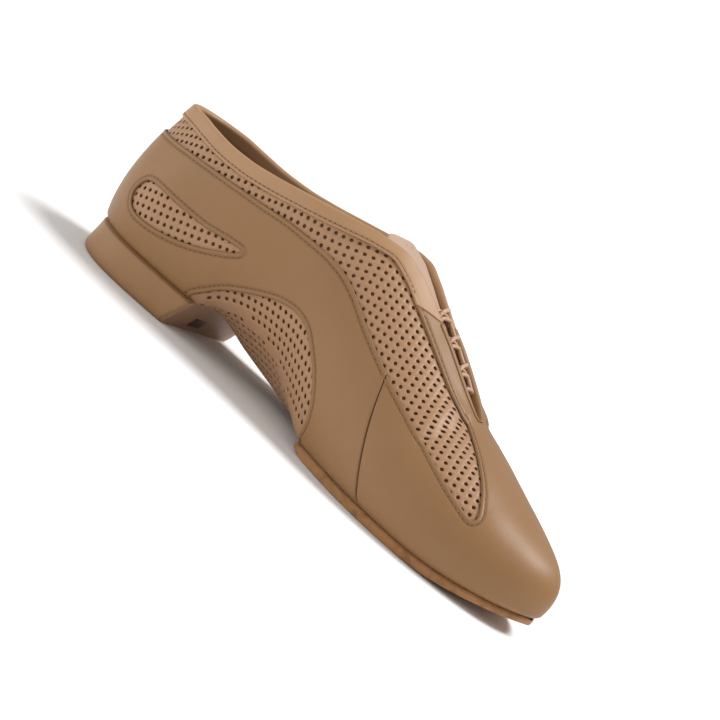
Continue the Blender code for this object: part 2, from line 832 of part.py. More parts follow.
def model_outsole(collection, made):
    """Thin forepart sole from its rounded, thinned rear end to the sprung tip."""
    form = bmesh.new()
    outline = grown_outline(SOLE_LIP)
    tip = outline[outline[:, 0].argmax()]
    turn = np.linspace(0, math.pi / 2, 13)
    widths = (-1, -0.8, -0.4, 0, 0.4, 0.8, 1)
    tops = []
    bottoms = []
    front = SOLE_REAR + (tip[0] - SOLE_REAR) * np.concatenate(
        [np.linspace(0, 0.55, 9)[:-1], 0.55 + 0.45 * np.sin(turn)]
    )
    for station in front:
        top = []
        bottom = []
        for width in widths:
            side = LATERAL if width > 0 else MEDIAL
            if station >= tip[0] - 1e-7:
                y = tip[1]
            else:
                y = centre(station) + side * half_width(outline, station, side) * abs(width)
            back = SOLE_REAR_BULGE * (1 - width**2) * max(
                0, 1 - (station - SOLE_REAR) / (4 * SOLE_REAR_TAPER)
            )
            x = station - back
            share = min(1, max(0, (station - SOLE_REAR) / SOLE_REAR_TAPER))
            thick = SOLE_REAR_THIN + (SOLE_THICKNESS - SOLE_REAR_THIN) * math.sin(share * math.pi / 2)
            base = spring(x)
            top.append((x, y, base + SOLE_THICKNESS))
            bottom.append((x, y, base + SOLE_THICKNESS - thick))
        tops.append(top)
        bottoms.append(bottom)
    add_grid(form, tops)
    add_grid(form, bottoms)
    rim_top = [row[0] for row in tops] + [row[-1] for row in reversed(tops)]
    rim_bottom = [row[0] for row in bottoms] + [row[-1] for row in reversed(bottoms)]
    add_grid(form, [rim_top, rim_bottom])
    add_grid(form, [tops[0], bottoms[0]])
    return new_object("outsole", form, collection, made)


def floor_line(station):
    """Places across and heights of the upper's under side at a station."""
    start = SIDE_STEPS + CORNER_STEPS
    line = []
    for side in SIDES:
        edge = [on_last(side, station, start + k) for k in range(MARGIN_STEPS + 1)]
        line.extend(edge)
    if ARCH_START <= station <= ARCH_END:
        line.extend(under_waist(station))
    line = np.array(sorted(line, key=lambda p: p[1]))
    return line[:, 1], line[:, 2]


def over_waist(station, y, rise):
    """Height of a surface that lies a distance over the closed under side of the waist."""
    across, heights = floor_line(station)
    height = float(np.interp(y, across, heights))
    beside = [float(np.interp(y + step, across, heights)) for step in (-MM, MM)]
    ahead = float(np.interp(y, *floor_line(station + MM)))
    slope_y = max(abs(near - height) for near in beside) / MM
    return height + rise * math.hypot(1, slope_y, (ahead - height) / MM)


def model_insole(collection, made):
    """Sock board that lies on the turned-in margin and follows the waist."""
    form = bmesh.new()
    outline = grown_outline(-INSOLE_INSET)
    back = outline[outline[:, 0].argmin()]
    tip = outline[outline[:, 0].argmax()]
    turn = np.linspace(0, math.pi / 2, 7)
    stations = np.concatenate(
        [
            back[0] + (ARCH_START - back[0]) * (1 - np.cos(turn)),
            np.arange(ARCH_START, ARCH_END, 5 * MM)[1:],
            ARCH_END + (tip[0] - ARCH_END) * np.sin(turn),
        ]
    )
    widths = np.linspace(-1, 1, 8)
    rows = []
    for station in stations:
        at_end = station < back[0] + 1e-6 or station > tip[0] - 1e-6
        row = []
        for width in widths:
            side = LATERAL if width > 0 else MEDIAL
            if at_end:
                y = back[1] if station < HEEL_PIVOT else tip[1]
            else:
                y = centre(station) + side * half_width(outline, station, side) * abs(width)
            if ARCH_START < station < ARCH_END + PACE:
                height = over_waist(station, y, WALL + 3 * GAP)
            else:
                height = seat_height(station, LATERAL) + spring(station) + WALL + GAP
            row.append((station, y, height))
        rows.append(row)
    add_grid(form, rows)
    insole = new_object("insole", form, collection, made)
    solidify_up(insole, INSOLE_THICKNESS)
    return insole


def instep_line(station):
    """Places across and heights of the closed instep over the throat at a station."""
    line = []
    for side in SIDES:
        rows = np.linspace(0, SIDE_STEPS * 0.6, 24)
        line.extend(on_last(side, station, row) for row in rows)
    if station < THROAT_END:
        angle = math.radians(crown(station))
        tops = [on_last(side, station, 0) for side in SIDES]
        peak = np.array([station, centre(station), ridge_height(station)])
        for side, top in zip(SIDES, tops):
            pull = abs(top[1] - peak[1]) / 2.4
            inner = np.array([0, -side * math.cos(angle), math.sin(angle)])
            line.extend(bezier(top, top + inner * pull, peak + (0, side * pull, 0), peak, 10)[1:])
    line = np.array(sorted(line, key=lambda p: p[1]))
    return line[:, 1], line[:, 2]


def under_instep(station, y, depth):
    """Height of a surface that lies a depth inside the closed instep."""
    across, heights = instep_line(station)
    height, left, right = (float(np.interp(y + step, across, heights)) for step in (0, -MM, MM))
    ahead = float(np.interp(y, *instep_line(station + MM)))
    return height - depth * math.hypot(1, (right - left) / 2 / MM, (ahead - height) / MM)


def model_tongue(collection, made):
    """Padded strip under the throat, caught under the vamp and peeping out of the top."""
    form = bmesh.new()
    widths = np.linspace(-1, 1, 11)
    turn = np.linspace(0, math.pi / 2, 5)
    rounded = TONGUE_TOP + TONGUE_CORNER * (1 - np.cos(turn))
    straight = np.linspace(TONGUE_TOP + TONGUE_CORNER, TONGUE_FOOT, 16)
    rows = []
    for station in np.concatenate([rounded, straight[1:]]):
        into = min(1, (station - TONGUE_TOP) / TONGUE_CORNER)
        half = TONGUE_WIDTH / 2 - TONGUE_CORNER * 0.8 * (1 - math.sqrt(1 - (1 - into) ** 2))
        half = half * (1 - 0.12 * (station - TONGUE_TOP) / (TONGUE_FOOT - TONGUE_TOP))
        row = []
        for width in widths:
            y = centre(station) + half * width
            row.append((station, y, under_instep(station, y, WALL + 2 * GAP)))
        rows.append(row)
    add_grid(form, rows)
    tongue = new_object("tongue", form, collection, made)
    solidify_up(tongue, -TONGUE_THICKNESS)
    return tongue


def lace_place(level, side, inset):
    """A point of the lace near one edge of the slit."""
    station = THROAT_END - LACE_FIRST - level * LACE_PITCH
    y = centre(station) + side * (half_width(OPENING, station, side) - inset)
    return station, y


def lace_run(start, end, collection):
    """One straight pass of lace over the slit, bowed with the instep, as a closed tube."""
    curve = bpy.data.curves.new("pass", "CURVE")
    curve.dimensions = "3D"
    curve.bevel_depth = LACE_DIAMETER / 2
    curve.bevel_resolution = 2
    curve.use_fill_caps = True
    line = curve.splines.new("POLY")
    count = 3
    line.points.add(count - 1)
    for k in range(count):
        share = k / (count - 1)
        x = start[0] + (end[0] - start[0]) * share
        y = start[1] + (end[1] - start[1]) * share
        line.points[k].co = (x, y, under_instep(x, y, GAP), 1)
    return mesh_from_curve(curve, collection)


def mesh_from_curve(curve, collection):
    """A curve object turned into a mesh object with welded caps."""
    carrier = bpy.data.objects.new("carrier", curve)
    collection.objects.link(carrier)
    bpy.context.view_layer.update()
    ready = carrier.evaluated_get(bpy.context.evaluated_depsgraph_get())
    mesh = bpy.data.meshes.new_from_object(ready)
    form = bmesh.new()
    form.from_mesh(mesh)
    bpy.data.meshes.remove(mesh)
    bpy.data.objects.remove(carrier)
    return new_object("pass", form, collection)


def model_lace(collection, cutters, made):
    """Bars and crossings over the slit, joined by the runs along its lateral edge."""
    edge = LACE_DIAMETER / 2 + LACE_GAP
    passes = []
    for level in (0, 1, 3, 5):
        passes.append((lace_place(level, MEDIAL, LACE_GAP), lace_place(level, LATERAL, LACE_GAP)))
    for level in (1, 3, 5):
        passes.append((lace_place(level, MEDIAL, edge), lace_place(level + 1, LATERAL, edge)))
        passes.append((lace_place(level + 1, MEDIAL, edge), lace_place(level, LATERAL, edge)))
    for level in (0, 2, 4):
        passes.append((lace_place(level, LATERAL, edge), lace_place(level + 1, LATERAL, edge)))
    tubes = [lace_run(start, finish, cutters) for start, finish in passes]
    lace = tubes[0]
    lace.name = "lace"
    cutters.objects.unlink(lace)
    collection.objects.link(lace)
    lace.data.materials.append(made)
    for tube in tubes[1:]:
        joined = lace.modifiers.new("join", "BOOLEAN")
        joined.operation = "UNION"
        joined.object = tube
        tube.hide_render = True
        tube.display_type = "WIRE"
    triangulate(lace)
    return lace


def centre_on_origin(collection, cutters):
    """Hang all on an empty that brings the middle of the shoe's box over the origin."""
    bpy.context.view_layer.update()
    depsgraph = bpy.context.evaluated_depsgraph_get()
    corners = []
    for thing in collection.objects:
        mesh = thing.evaluated_get(depsgraph).to_mesh()
        corners.extend(tuple(v.co) for v in mesh.vertices)
    corners = np.array(corners)
    middle = (corners.min(axis=0) + corners.max(axis=0)) / 2
    base = bpy.data.objects.new("shoe", None)
    collection.objects.link(base)
    base.location = (-middle[0], -middle[1], 0)
    for thing in list(collection.objects) + list(cutters.objects):
        if thing is not base:
            thing.parent = base


def main():
    clear_scene()
    collection = bpy.data.collections.new("jazz shoe")
    cutters = bpy.data.collections.new("cutters")
    for group in (collection, cutters):
        bpy.context.scene.collection.children.link(group)
    leather = material("smooth leather", LEATHER, 0.5)
    perforated = material("perforated leather", PERFORATED, 0.55)
    model_upper(collection, perforated)
    model_quarter(collection, cutters, leather)
    model_vamp(collection, leather)
    model_collar(collection, leather)
    model_tongue(collection, material("tongue leather", TONGUE_TAN, 0.55))
    model_insole(collection, material("sock cloth", INNER_CLOTH, 0.8))
    model_heel(collection, material("heel cover", LEATHER, 0.5))
    model_outsole(collection, material("suede sole", SUEDE, 0.9))
    model_lace(collection, cutters, material("lace", PERFORATED, 0.6))
    centre_on_origin(collection, cutters)


main()
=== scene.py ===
import json
import math

import bmesh
import bpy
import numpy as np
from mathutils import Matrix, Vector
from mathutils.geometry import delaunay_2d_cdt

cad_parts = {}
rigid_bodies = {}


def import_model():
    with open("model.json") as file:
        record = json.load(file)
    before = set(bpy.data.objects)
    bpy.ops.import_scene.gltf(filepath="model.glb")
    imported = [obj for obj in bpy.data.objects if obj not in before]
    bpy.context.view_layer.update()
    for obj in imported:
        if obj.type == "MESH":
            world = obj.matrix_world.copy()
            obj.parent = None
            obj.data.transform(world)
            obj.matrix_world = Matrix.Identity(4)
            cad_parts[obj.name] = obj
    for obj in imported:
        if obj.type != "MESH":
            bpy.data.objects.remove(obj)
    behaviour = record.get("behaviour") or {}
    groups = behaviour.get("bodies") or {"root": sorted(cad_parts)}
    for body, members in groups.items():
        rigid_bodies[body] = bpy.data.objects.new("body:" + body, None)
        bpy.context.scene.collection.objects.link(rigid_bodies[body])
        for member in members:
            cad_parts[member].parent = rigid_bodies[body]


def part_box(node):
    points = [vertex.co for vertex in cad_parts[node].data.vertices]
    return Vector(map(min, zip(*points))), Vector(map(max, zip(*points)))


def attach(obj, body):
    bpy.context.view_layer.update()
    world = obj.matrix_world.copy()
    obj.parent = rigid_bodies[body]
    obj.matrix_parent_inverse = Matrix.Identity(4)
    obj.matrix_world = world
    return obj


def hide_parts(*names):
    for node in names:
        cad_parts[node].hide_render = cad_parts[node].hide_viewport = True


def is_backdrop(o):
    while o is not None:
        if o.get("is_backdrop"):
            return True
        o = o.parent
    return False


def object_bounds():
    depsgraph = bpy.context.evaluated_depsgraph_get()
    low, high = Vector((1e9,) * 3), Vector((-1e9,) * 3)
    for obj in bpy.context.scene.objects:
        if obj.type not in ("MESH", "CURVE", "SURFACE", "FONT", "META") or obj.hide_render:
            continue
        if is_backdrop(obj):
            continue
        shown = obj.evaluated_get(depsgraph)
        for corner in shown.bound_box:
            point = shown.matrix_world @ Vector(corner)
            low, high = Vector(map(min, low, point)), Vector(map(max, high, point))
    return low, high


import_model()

cad_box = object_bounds()
for thing in bpy.context.scene.objects:
    thing.select_set(False)

MM = 0.001

# Studio: a long lens low on the medial side, turned towards the toe and rolled as in the photo,
# over a wide pale floor in a white surround, under one broad overhead light and two soft fills.
VIEW_TURN = 24
VIEW_RISE = 9
VIEW_ROLL = 38
VIEW_DISTANCE = 0.78
LENS = 105
AIM = Vector((0.004, 0, 0.036))
SURROUND_LIGHT = 0.5
SURROUND_SEEN = 1.1

turn, rise = math.radians(VIEW_TURN), math.radians(VIEW_RISE)
away = Vector((math.sin(turn) * math.cos(rise), -math.cos(turn) * math.cos(rise), math.sin(rise)))
camera = bpy.data.objects.new("camera", bpy.data.cameras.new("camera"))
bpy.context.scene.collection.objects.link(camera)
camera.location = AIM + away * VIEW_DISTANCE
camera.rotation_mode = "QUATERNION"
level = (-away).to_track_quat("-Z", "Y")
camera.rotation_quaternion = level @ Matrix.Rotation(math.radians(VIEW_ROLL), 3, "Z").to_quaternion()
camera.data.lens = LENS
camera.data.clip_start = 0.01
bpy.context.scene.camera = camera
bpy.context.scene.view_settings.view_transform = "Standard"
bpy.context.scene.view_settings.exposure = 0.0

world = bpy.data.worlds.new("studio")
bpy.context.scene.world = world
world.use_nodes = True
sky = world.node_tree.nodes["Background"]
sky.inputs["Color"].default_value = (1.0, 0.995, 0.985, 1)
seen = world.node_tree.nodes.new("ShaderNodeLightPath").outputs["Is Camera Ray"]
strength = world.node_tree.nodes.new("ShaderNodeMapRange")
strength.inputs["To Min"].default_value = SURROUND_LIGHT
strength.inputs["To Max"].default_value = SURROUND_SEEN
world.node_tree.links.new(seen, strength.inputs["Value"])
world.node_tree.links.new(strength.outputs["Result"], sky.inputs["Strength"])

key = bpy.data.objects.new("window light", bpy.data.lights.new("window light", "SUN"))
key.data.energy = 3.1
key.data.angle = math.radians(24)
bpy.context.scene.collection.objects.link(key)
key.rotation_euler = Vector((-0.42, -0.30, -1)).to_track_quat("-Z", "Y").to_euler()
for name, place, size, power in (
    ("soft fill", (-0.2, -1.0, 0.5), 0.8, 1.4),
    ("heel fill", (-0.95, -0.55, 0.35), 0.7, 3.6),
):
    fill = bpy.data.objects.new(name, bpy.data.lights.new(name, "AREA"))
    fill.data.size = size
    fill.data.energy = power
    bpy.context.scene.collection.objects.link(fill)
    fill.location = place
    fill.rotation_euler = (AIM - fill.location).to_track_quat("-Z", "Y").to_euler()

bpy.ops.mesh.primitive_circle_add(vertices=96, radius=12, fill_type="NGON")
floor = bpy.context.object
floor.name = "floor"
floor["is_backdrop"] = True
paint = bpy.data.materials.new("pale floor")
paint.use_nodes = True
coat = paint.node_tree.nodes["Principled BSDF"].inputs
coat["Base Color"].default_value = (0.9, 0.9, 0.9, 1)
coat["Roughness"].default_value = 0.8
coat["Specular IOR Level"].default_value = 0.1
floor.data.materials.append(paint)

# Upper: one skin of thin perforated leather pulled over the last and turned in under the foot. The
# last's tables are in shares of these sizes; its sections run from the top line down to the sole.
LENGTH = 240 * MM
BALL_WIDTH = 77 * MM
HEEL_WIDTH = 54 * MM
INSTEP_HEIGHT = 78.3 * MM
ARCH_LIFT = 13 * MM
TOE_SPRING = 6 * MM
HEEL_HEIGHT = 13 * MM
SOLE_THICKNESS = 3 * MM
WALL = 1.4 * MM
LASTING_MARGIN = 10 * MM
FEATHER_ROUNDING = 3 * MM
GAP = 0.3 * MM
HEEL_PIVOT = HEEL_WIDTH / 2
TOE_PIVOT = 0.867 * LENGTH
THROAT_TOP = 0.483 * LENGTH
THROAT_END = 0.734 * LENGTH
SIDE_STEPS = 48
CORNER_STEPS = 6
MARGIN_STEPS = 2
LAST_ROW = SIDE_STEPS + CORNER_STEPS + MARGIN_STEPS
HEEL_COLUMNS = 40
SIDE_COLUMNS = 181
TOE_COLUMNS = 48
FEATHER_BACK = (0.0165, 0.0)
FEATHER_TIP = (0.9970, -0.084)
FEATHER_PLAN = (
    # along, lateral, medial
    (0.026, 0.176, 0.176),
    (0.058, 0.357, 0.357),
    (0.112, 0.470, 0.470),
    (0.188, 0.496, 0.474),
    (0.275, 0.497, 0.414),
    (0.375, 0.461, 0.325),
    (0.467, 0.446, 0.300),
    (0.550, 0.462, 0.357),
    (0.625, 0.492, 0.435),
    (0.688, 0.494, 0.482),
    (0.742, 0.470, 0.497),
    (0.812, 0.409, 0.480),
    (0.875, 0.325, 0.424),
    (0.929, 0.221, 0.338),
    (0.971, 0.097, 0.238),
)
OPENING_BACK = 0.0175
OPENING_PLAN = (
    # along, half
    (0.029, 0.160),
    (0.058, 0.276),
    (0.112, 0.380),
    (0.188, 0.452),
    (0.270, 0.484),
    (0.354, 0.470),
    (0.417, 0.400),
    (0.458, 0.315),
    (0.483, 0.243),
    (0.521, 0.172),
    (0.562, 0.130),
    (0.604, 0.115),
    (0.646, 0.111),
    (0.688, 0.102),
    (0.717, 0.076),
    (0.731, 0.036),
)
TOP_HEIGHT = (
    # along, height
    (0.000, 0.868),
    (0.058, 0.871),
    (0.108, 0.864),
    (0.158, 0.857),
    (0.208, 0.864),
    (0.258, 0.885),
    (0.333, 0.929),
    (0.408, 0.974),
    (0.458, 0.998),
    (0.483, 1.000),
    (0.521, 0.965),
    (0.562, 0.904),
    (0.604, 0.835),
    (0.646, 0.764),
    (0.688, 0.690),
    (0.717, 0.636),
    (0.734, 0.603),
    (0.771, 0.566),
    (0.812, 0.527),
    (0.867, 0.470),
)
RIDGE_HEIGHT = (
    # along, height
    (0.420, 1.085),
    (0.450, 1.062),
    (0.483, 1.032),
    (0.521, 0.989),
    (0.562, 0.924),
    (0.604, 0.853),
    (0.646, 0.779),
    (0.688, 0.702),
    (0.717, 0.642),
    (0.734, 0.603),
)
WAIST = (
    # along, fall, lift, dip_lateral, dip_medial
    (0.262, 0.00, 0.00, 0.00, 0.00),
    (0.280, 0.00, 0.08, 0.00, 0.00),
    (0.296, 0.06, 0.36, 0.03, 0.14),
    (0.315, 0.14, 0.60, 0.07, 0.33),
    (0.354, 0.31, 0.90, 0.12, 0.60),
    (0.396, 0.50, 1.00, 0.13, 0.68),
    (0.437, 0.67, 0.95, 0.10, 0.66),
    (0.479, 0.82, 0.70, 0.07, 0.48),
    (0.521, 0.92, 0.40, 0.04, 0.27),
    (0.554, 0.98, 0.14, 0.01, 0.08),
    (0.583, 1.00, 0.00, 0.00, 0.00),
)
SIDE_SHAPE = (
    # along, lean_lateral, lean_medial, crown, pull_low, pull_high
    (0.000, 73, 73, 76, 0.33, 0.33),
    (0.112, 72, 72, 77, 0.33, 0.33),
    (0.188, 72, 72, 80, 0.33, 0.33),
    (0.275, 74, 70, 82, 0.33, 0.33),
    (0.354, 76, 62, 76, 0.35, 0.33),
    (0.417, 77, 60, 62, 0.36, 0.34),
    (0.483, 78, 61, 42, 0.36, 0.38),
    (0.521, 79, 65, 34, 0.36, 0.42),
    (0.562, 80, 70, 28, 0.36, 0.45),
    (0.604, 80, 74, 24, 0.36, 0.46),
    (0.646, 80, 77, 20, 0.36, 0.48),
    (0.688, 79, 78, 14, 0.37, 0.49),
    (0.734, 78, 78, 0, 0.38, 0.50),
    (0.867, 77, 77, 0, 0.42, 0.52),
    (1.000, 80, 80, 0, 0.44, 0.50),
)


def smooth(places, values):
    """A smooth curve through a table's rows that never overshoots them."""
    places, values = np.array(places, float), np.array(values, float)
    rise = np.diff(values) / np.diff(places)
    turning = rise[:-1] * rise[1:] > 0
    mean = 2 * rise[:-1] * rise[1:] / np.where(turning, rise[:-1] + rise[1:], 1)
    slope = np.concatenate([rise[:1], np.where(turning, mean, 0), rise[-1:]])

    def read(place):
        at = np.clip(place, places[0], places[-1])
        row = np.clip(np.searchsorted(places, at) - 1, 0, len(places) - 2)
        span = places[row + 1] - places[row]
        t = (at - places[row]) / span
        return (
            values[row] * (1 + 2 * t) * (1 - t) ** 2
            + values[row + 1] * t * t * (3 - 2 * t)
            + slope[row] * span * t * (1 - t) ** 2
            - slope[row + 1] * span * t * t * (1 - t)
        )

    return read


def share_curve(table, number, size):
    """Column of a table as a function of the station in metres."""
    shares = smooth([row[0] for row in table], [row[number] for row in table])
    return lambda station: size * shares(station / LENGTH)


def closed_curve(points, steps=24):
    """A smooth closed curve through points, as an array of points."""
    points = np.array(points, float)
    count = len(points)
    curve = []
    for i in range(count):
        four = [points[(i + k - 1) % count] for k in range(4)]
        knots = [0.0]
        for a, b in zip(four, four[1:]):
            knots.append(knots[-1] + math.sqrt(np.linalg.norm(b - a)))
        for t in np.linspace(knots[1], knots[2], steps, endpoint=False):
            level = four
            for depth in (1, 2, 3):
                level = [
                    (level[k] * (knots[k + depth] - t) + level[k + 1] * (t - knots[k]))
                    / (knots[k + depth] - knots[k])
                    for k in range(4 - depth)
                ]
            curve.append(level[0])
    return np.array(curve)


def bezier(a, b, c, d, steps):
    """Points of a cubic curve from a to d, both ends included."""
    t = np.linspace(0, 1, steps + 1)[:, None]
    a, b, c, d = (np.array(p, float) for p in (a, b, c, d))
    return a * (1 - t) ** 3 + 3 * b * t * (1 - t) ** 2 + 3 * c * t * t * (1 - t) + d * t**3


centre_share = smooth((0, 0.55, 0.734, 0.867, 1), (0, 0, -0.013, -0.052, -0.052))
top_height = share_curve(TOP_HEIGHT, 1, INSTEP_HEIGHT)
ridge_height = share_curve(RIDGE_HEIGHT, 1, INSTEP_HEIGHT)
fall = share_curve(WAIST, 1, 1)
lift = share_curve(WAIST, 2, ARCH_LIFT)
dip = {1: share_curve(WAIST, 3, ARCH_LIFT), -1: share_curve(WAIST, 4, ARCH_LIFT)}
lean = {1: share_curve(SIDE_SHAPE, 1, 1), -1: share_curve(SIDE_SHAPE, 2, 1)}
crown = share_curve(SIDE_SHAPE, 3, 1)
pull_low = share_curve(SIDE_SHAPE, 4, 1)
pull_high = share_curve(SIDE_SHAPE, 5, 1)


def centre(station):
    """Sideways place of the last's middle line."""
    return centre_share(station / LENGTH) * BALL_WIDTH


def local_width(station):
    """Width that the feather plan's shares refer to: the heel's, growing to the ball's."""
    t = min(max((station / LENGTH - 0.25) / 0.35, 0), 1)
    return HEEL_WIDTH + (BALL_WIDTH - HEEL_WIDTH) * t * t * (3 - 2 * t)


def plan_outline(table, back, tip, width):
    """A closed outline seen from above: lateral half, tip and medial half."""
    lateral = [(row[0] * LENGTH, row[1] * width(row[0] * LENGTH)) for row in table]
    medial = [(row[0] * LENGTH, -row[-1] * width(row[0] * LENGTH)) for row in reversed(table)]
    return closed_curve([back] + lateral + [tip] + medial)


FEATHER = plan_outline(
    FEATHER_PLAN,
    (FEATHER_BACK[0] * LENGTH, 0),
    (FEATHER_TIP[0] * LENGTH, FEATHER_TIP[1] * BALL_WIDTH),
    local_width,
)
OPENING = plan_outline(
    OPENING_PLAN,
    (OPENING_BACK * LENGTH, 0),
    (THROAT_END, centre(THROAT_END)),
    lambda station: HEEL_WIDTH,
)
OPENING[:, 1] += np.where(np.arange(len(OPENING)) > 0, centre(OPENING[:, 0]), 0) * (
    np.abs(OPENING[:, 0] - THROAT_END) > 1e-6
)


def edge_y(outline, station, side):
    """Sideways place of an outline's lateral or medial edge."""
    tip = outline[:, 0].argmax()
    part = outline[: tip + 1] if side > 0 else np.vstack([outline[tip:], outline[:1]])[::-1]
    return np.interp(station, part[:, 0], part[:, 1])


def half_width(outline, station, side):
    """Distance from the middle line to an outline, across the last."""
    return abs(edge_y(outline, station, side) - centre(station))


def reach(outline, pivot, way):
    """Distance from a pivot to an outline along a direction."""
    away = outline - np.array(pivot)
    angles = np.arctan2(away[:, 1], away[:, 0])
    order = angles.argsort()
    radii = np.hypot(away[:, 0], away[:, 1])[order]
    return np.interp(math.atan2(way[1], way[0]), angles[order], radii, period=2 * math.pi)


def spring(station):
    """Height that the toe spring gives the sole's under side."""
    return TOE_SPRING * np.maximum(0, (station / LENGTH - 0.81) / 0.19) ** 1.8


def section(station, side):
    """One half section from the top line or ridge down the side, round the feather, to the margin."""
    if station < HEEL_PIVOT:
        angle = math.acos((HEEL_PIVOT - station) / HEEL_PIVOT)
        pivot, way = (HEEL_PIVOT, 0.0), (-math.cos(angle), side * math.sin(angle))
    elif station > TOE_PIVOT:
        angle = math.asin(min(1, (station - TOE_PIVOT) / (LENGTH - TOE_PIVOT)))
        pivot, way = (TOE_PIVOT, centre(TOE_PIVOT)), (math.sin(angle), side * math.cos(angle))
    else:
        pivot, way = (station, centre(station)), (0.0, float(side))
    fanned = station < HEEL_PIVOT or station > TOE_PIVOT
    foot = reach(FEATHER, pivot, way) if fanned else half_width(FEATHER, station, side)
    high_seat, low_seat = HEEL_HEIGHT + GAP, SOLE_THICKNESS + GAP
    seat = high_seat + (low_seat - high_seat) * fall(station) + (lift(station) if side < 0 else 0)
    inner = np.array([foot - LASTING_MARGIN, seat - dip[side](station)])
    corner = np.array([foot, seat])
    inward = (inner - corner) / np.linalg.norm(inner - corner)
    angle = math.radians(lean[side](station))
    upward = np.array([math.cos(angle), math.sin(angle)])
    under = corner + inward * FEATHER_ROUNDING
    start = corner + upward * FEATHER_ROUNDING
    sprung = start + (0, spring(pivot[0] + start[0] * way[0]))
    if station >= THROAT_END:
        slope = (top_height(TOE_PIVOT) - top_height(TOE_PIVOT - MM)) / MM
        top = np.array([0.0, top_height(min(station, TOE_PIVOT))])
        outward = np.array([1.0, slope * way[0]])
    else:
        half = reach(OPENING, pivot, way) if fanned else half_width(OPENING, station, side)
        top = np.array([half, top_height(station)])
        angle = math.radians(crown(station))
        outward = np.array([math.cos(angle), -math.sin(angle)])
    chord = np.linalg.norm(top - sprung)
    high = top + outward * chord * pull_high(station)
    low = sprung + upward * chord * pull_low(station)
    half_round = 0.55 * FEATHER_ROUNDING
    corner_part = bezier(
        start, start - upward * half_round, under - inward * half_round, under, CORNER_STEPS
    )
    turned_in = np.vstack([corner_part[1:], np.linspace(under, inner, MARGIN_STEPS + 1)[1:]])
    turned_in[:, 1] += [spring(pivot[0] + r * way[0]) for r in turned_in[:, 0]]
    flat = np.vstack([bezier(top, high, low, sprung, SIDE_STEPS), turned_in])
    return np.stack(
        [pivot[0] + flat[:, 0] * way[0], pivot[1] + flat[:, 0] * way[1], flat[:, 1]], axis=1
    )


# Stations from the heel's middle to the toe's, about a millimetre apart; lateral columns of the
# sheet follow them forwards, and medial ones lead back to the heel, so that the sheet is a ring.
STATIONS = np.concatenate(
    [
        HEEL_PIVOT * (1 - np.cos(np.linspace(0, math.pi / 2, HEEL_COLUMNS + 1))),
        np.linspace(HEEL_PIVOT, TOE_PIVOT, SIDE_COLUMNS + 1)[1:-1],
        TOE_PIVOT + (LENGTH - TOE_PIVOT) * np.sin(np.linspace(0, math.pi / 2, TOE_COLUMNS + 1)),
    ]
)
LAST_COLUMN = len(STATIONS) - 1
lateral_sheet = np.array([section(station, 1) for station in STATIONS])
medial_sheet = np.array([section(station, -1) for station in STATIONS])
SHEET = np.concatenate([lateral_sheet, medial_sheet[-2:0:-1]])
AROUND = len(SHEET)
row_step = np.gradient(SHEET, axis=1)
NORMALS = np.cross(np.roll(SHEET, -1, axis=0) - np.roll(SHEET, 1, axis=0), row_step)
NORMALS /= np.maximum(np.linalg.norm(NORMALS, axis=2, keepdims=True), 1e-12)
column_station = STATIONS[np.abs((np.arange(AROUND) + LAST_COLUMN) % AROUND - LAST_COLUMN)]
pivot_column = int(np.searchsorted(STATIONS, TOE_PIVOT))
ridge_normal = NORMALS[pivot_column - 2, 0] * (1, 0, 1)
closed = column_station >= THROAT_END
fan = column_station >= TOE_PIVOT - 1e-6
NORMALS[closed, 0] *= (1, 0, 1)
NORMALS[fan, 0] = ridge_normal
NORMALS /= np.linalg.norm(NORMALS, axis=2, keepdims=True)
if NORMALS[HEEL_COLUMNS + 20, SIDE_STEPS // 2, 1] < 0:
    NORMALS = -NORMALS
OFFSET = np.array([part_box("heel")[1].x - 0.066, 0.000033, 0])


def cubic_shares(t):
    """Shares of four neighbours in a smooth reading between the middle two."""
    return (
        -0.5 * t**3 + t**2 - 0.5 * t,
        1.5 * t**3 - 2.5 * t**2 + 1,
        -1.5 * t**3 + 2 * t**2 + 0.5 * t,
        0.5 * t**3 - 0.5 * t**2,
    )


def read_sheet(grid, column, row):
    """Smooth reading of a sheet between its columns, which run round the shoe, and its rows."""
    i = np.floor(column).astype(int)
    j = np.clip(np.floor(row).astype(int), 0, grid.shape[1] - 2)
    total = 0
    for a, share_a in enumerate(cubic_shares(column - i)):
        for b, share_b in enumerate(cubic_shares(row - j)):
            near = grid[(i + a - 1) % AROUND, np.clip(j + b - 1, 0, grid.shape[1] - 1)]
            total = total + near * (share_a * share_b)[..., None]
    return total


def on_last(column, row, out=0.0):
    """Points on the last, or a distance outside it. Medial columns are negative."""
    column, row, out = np.broadcast_arrays(
        np.asarray(column, float), np.asarray(row, float), np.asarray(out, float)
    )
    place = read_sheet(SHEET, column, row)
    normal = read_sheet(NORMALS, column, row)
    normal /= np.linalg.norm(normal, axis=-1, keepdims=True)
    return place + normal * out[..., None] + OFFSET


def column_at(station, side):
    return side * np.interp(station, STATIONS, np.arange(LAST_COLUMN + 1))


def station_at(column):
    return np.interp(np.abs(column), np.arange(LAST_COLUMN + 1), STATIONS)


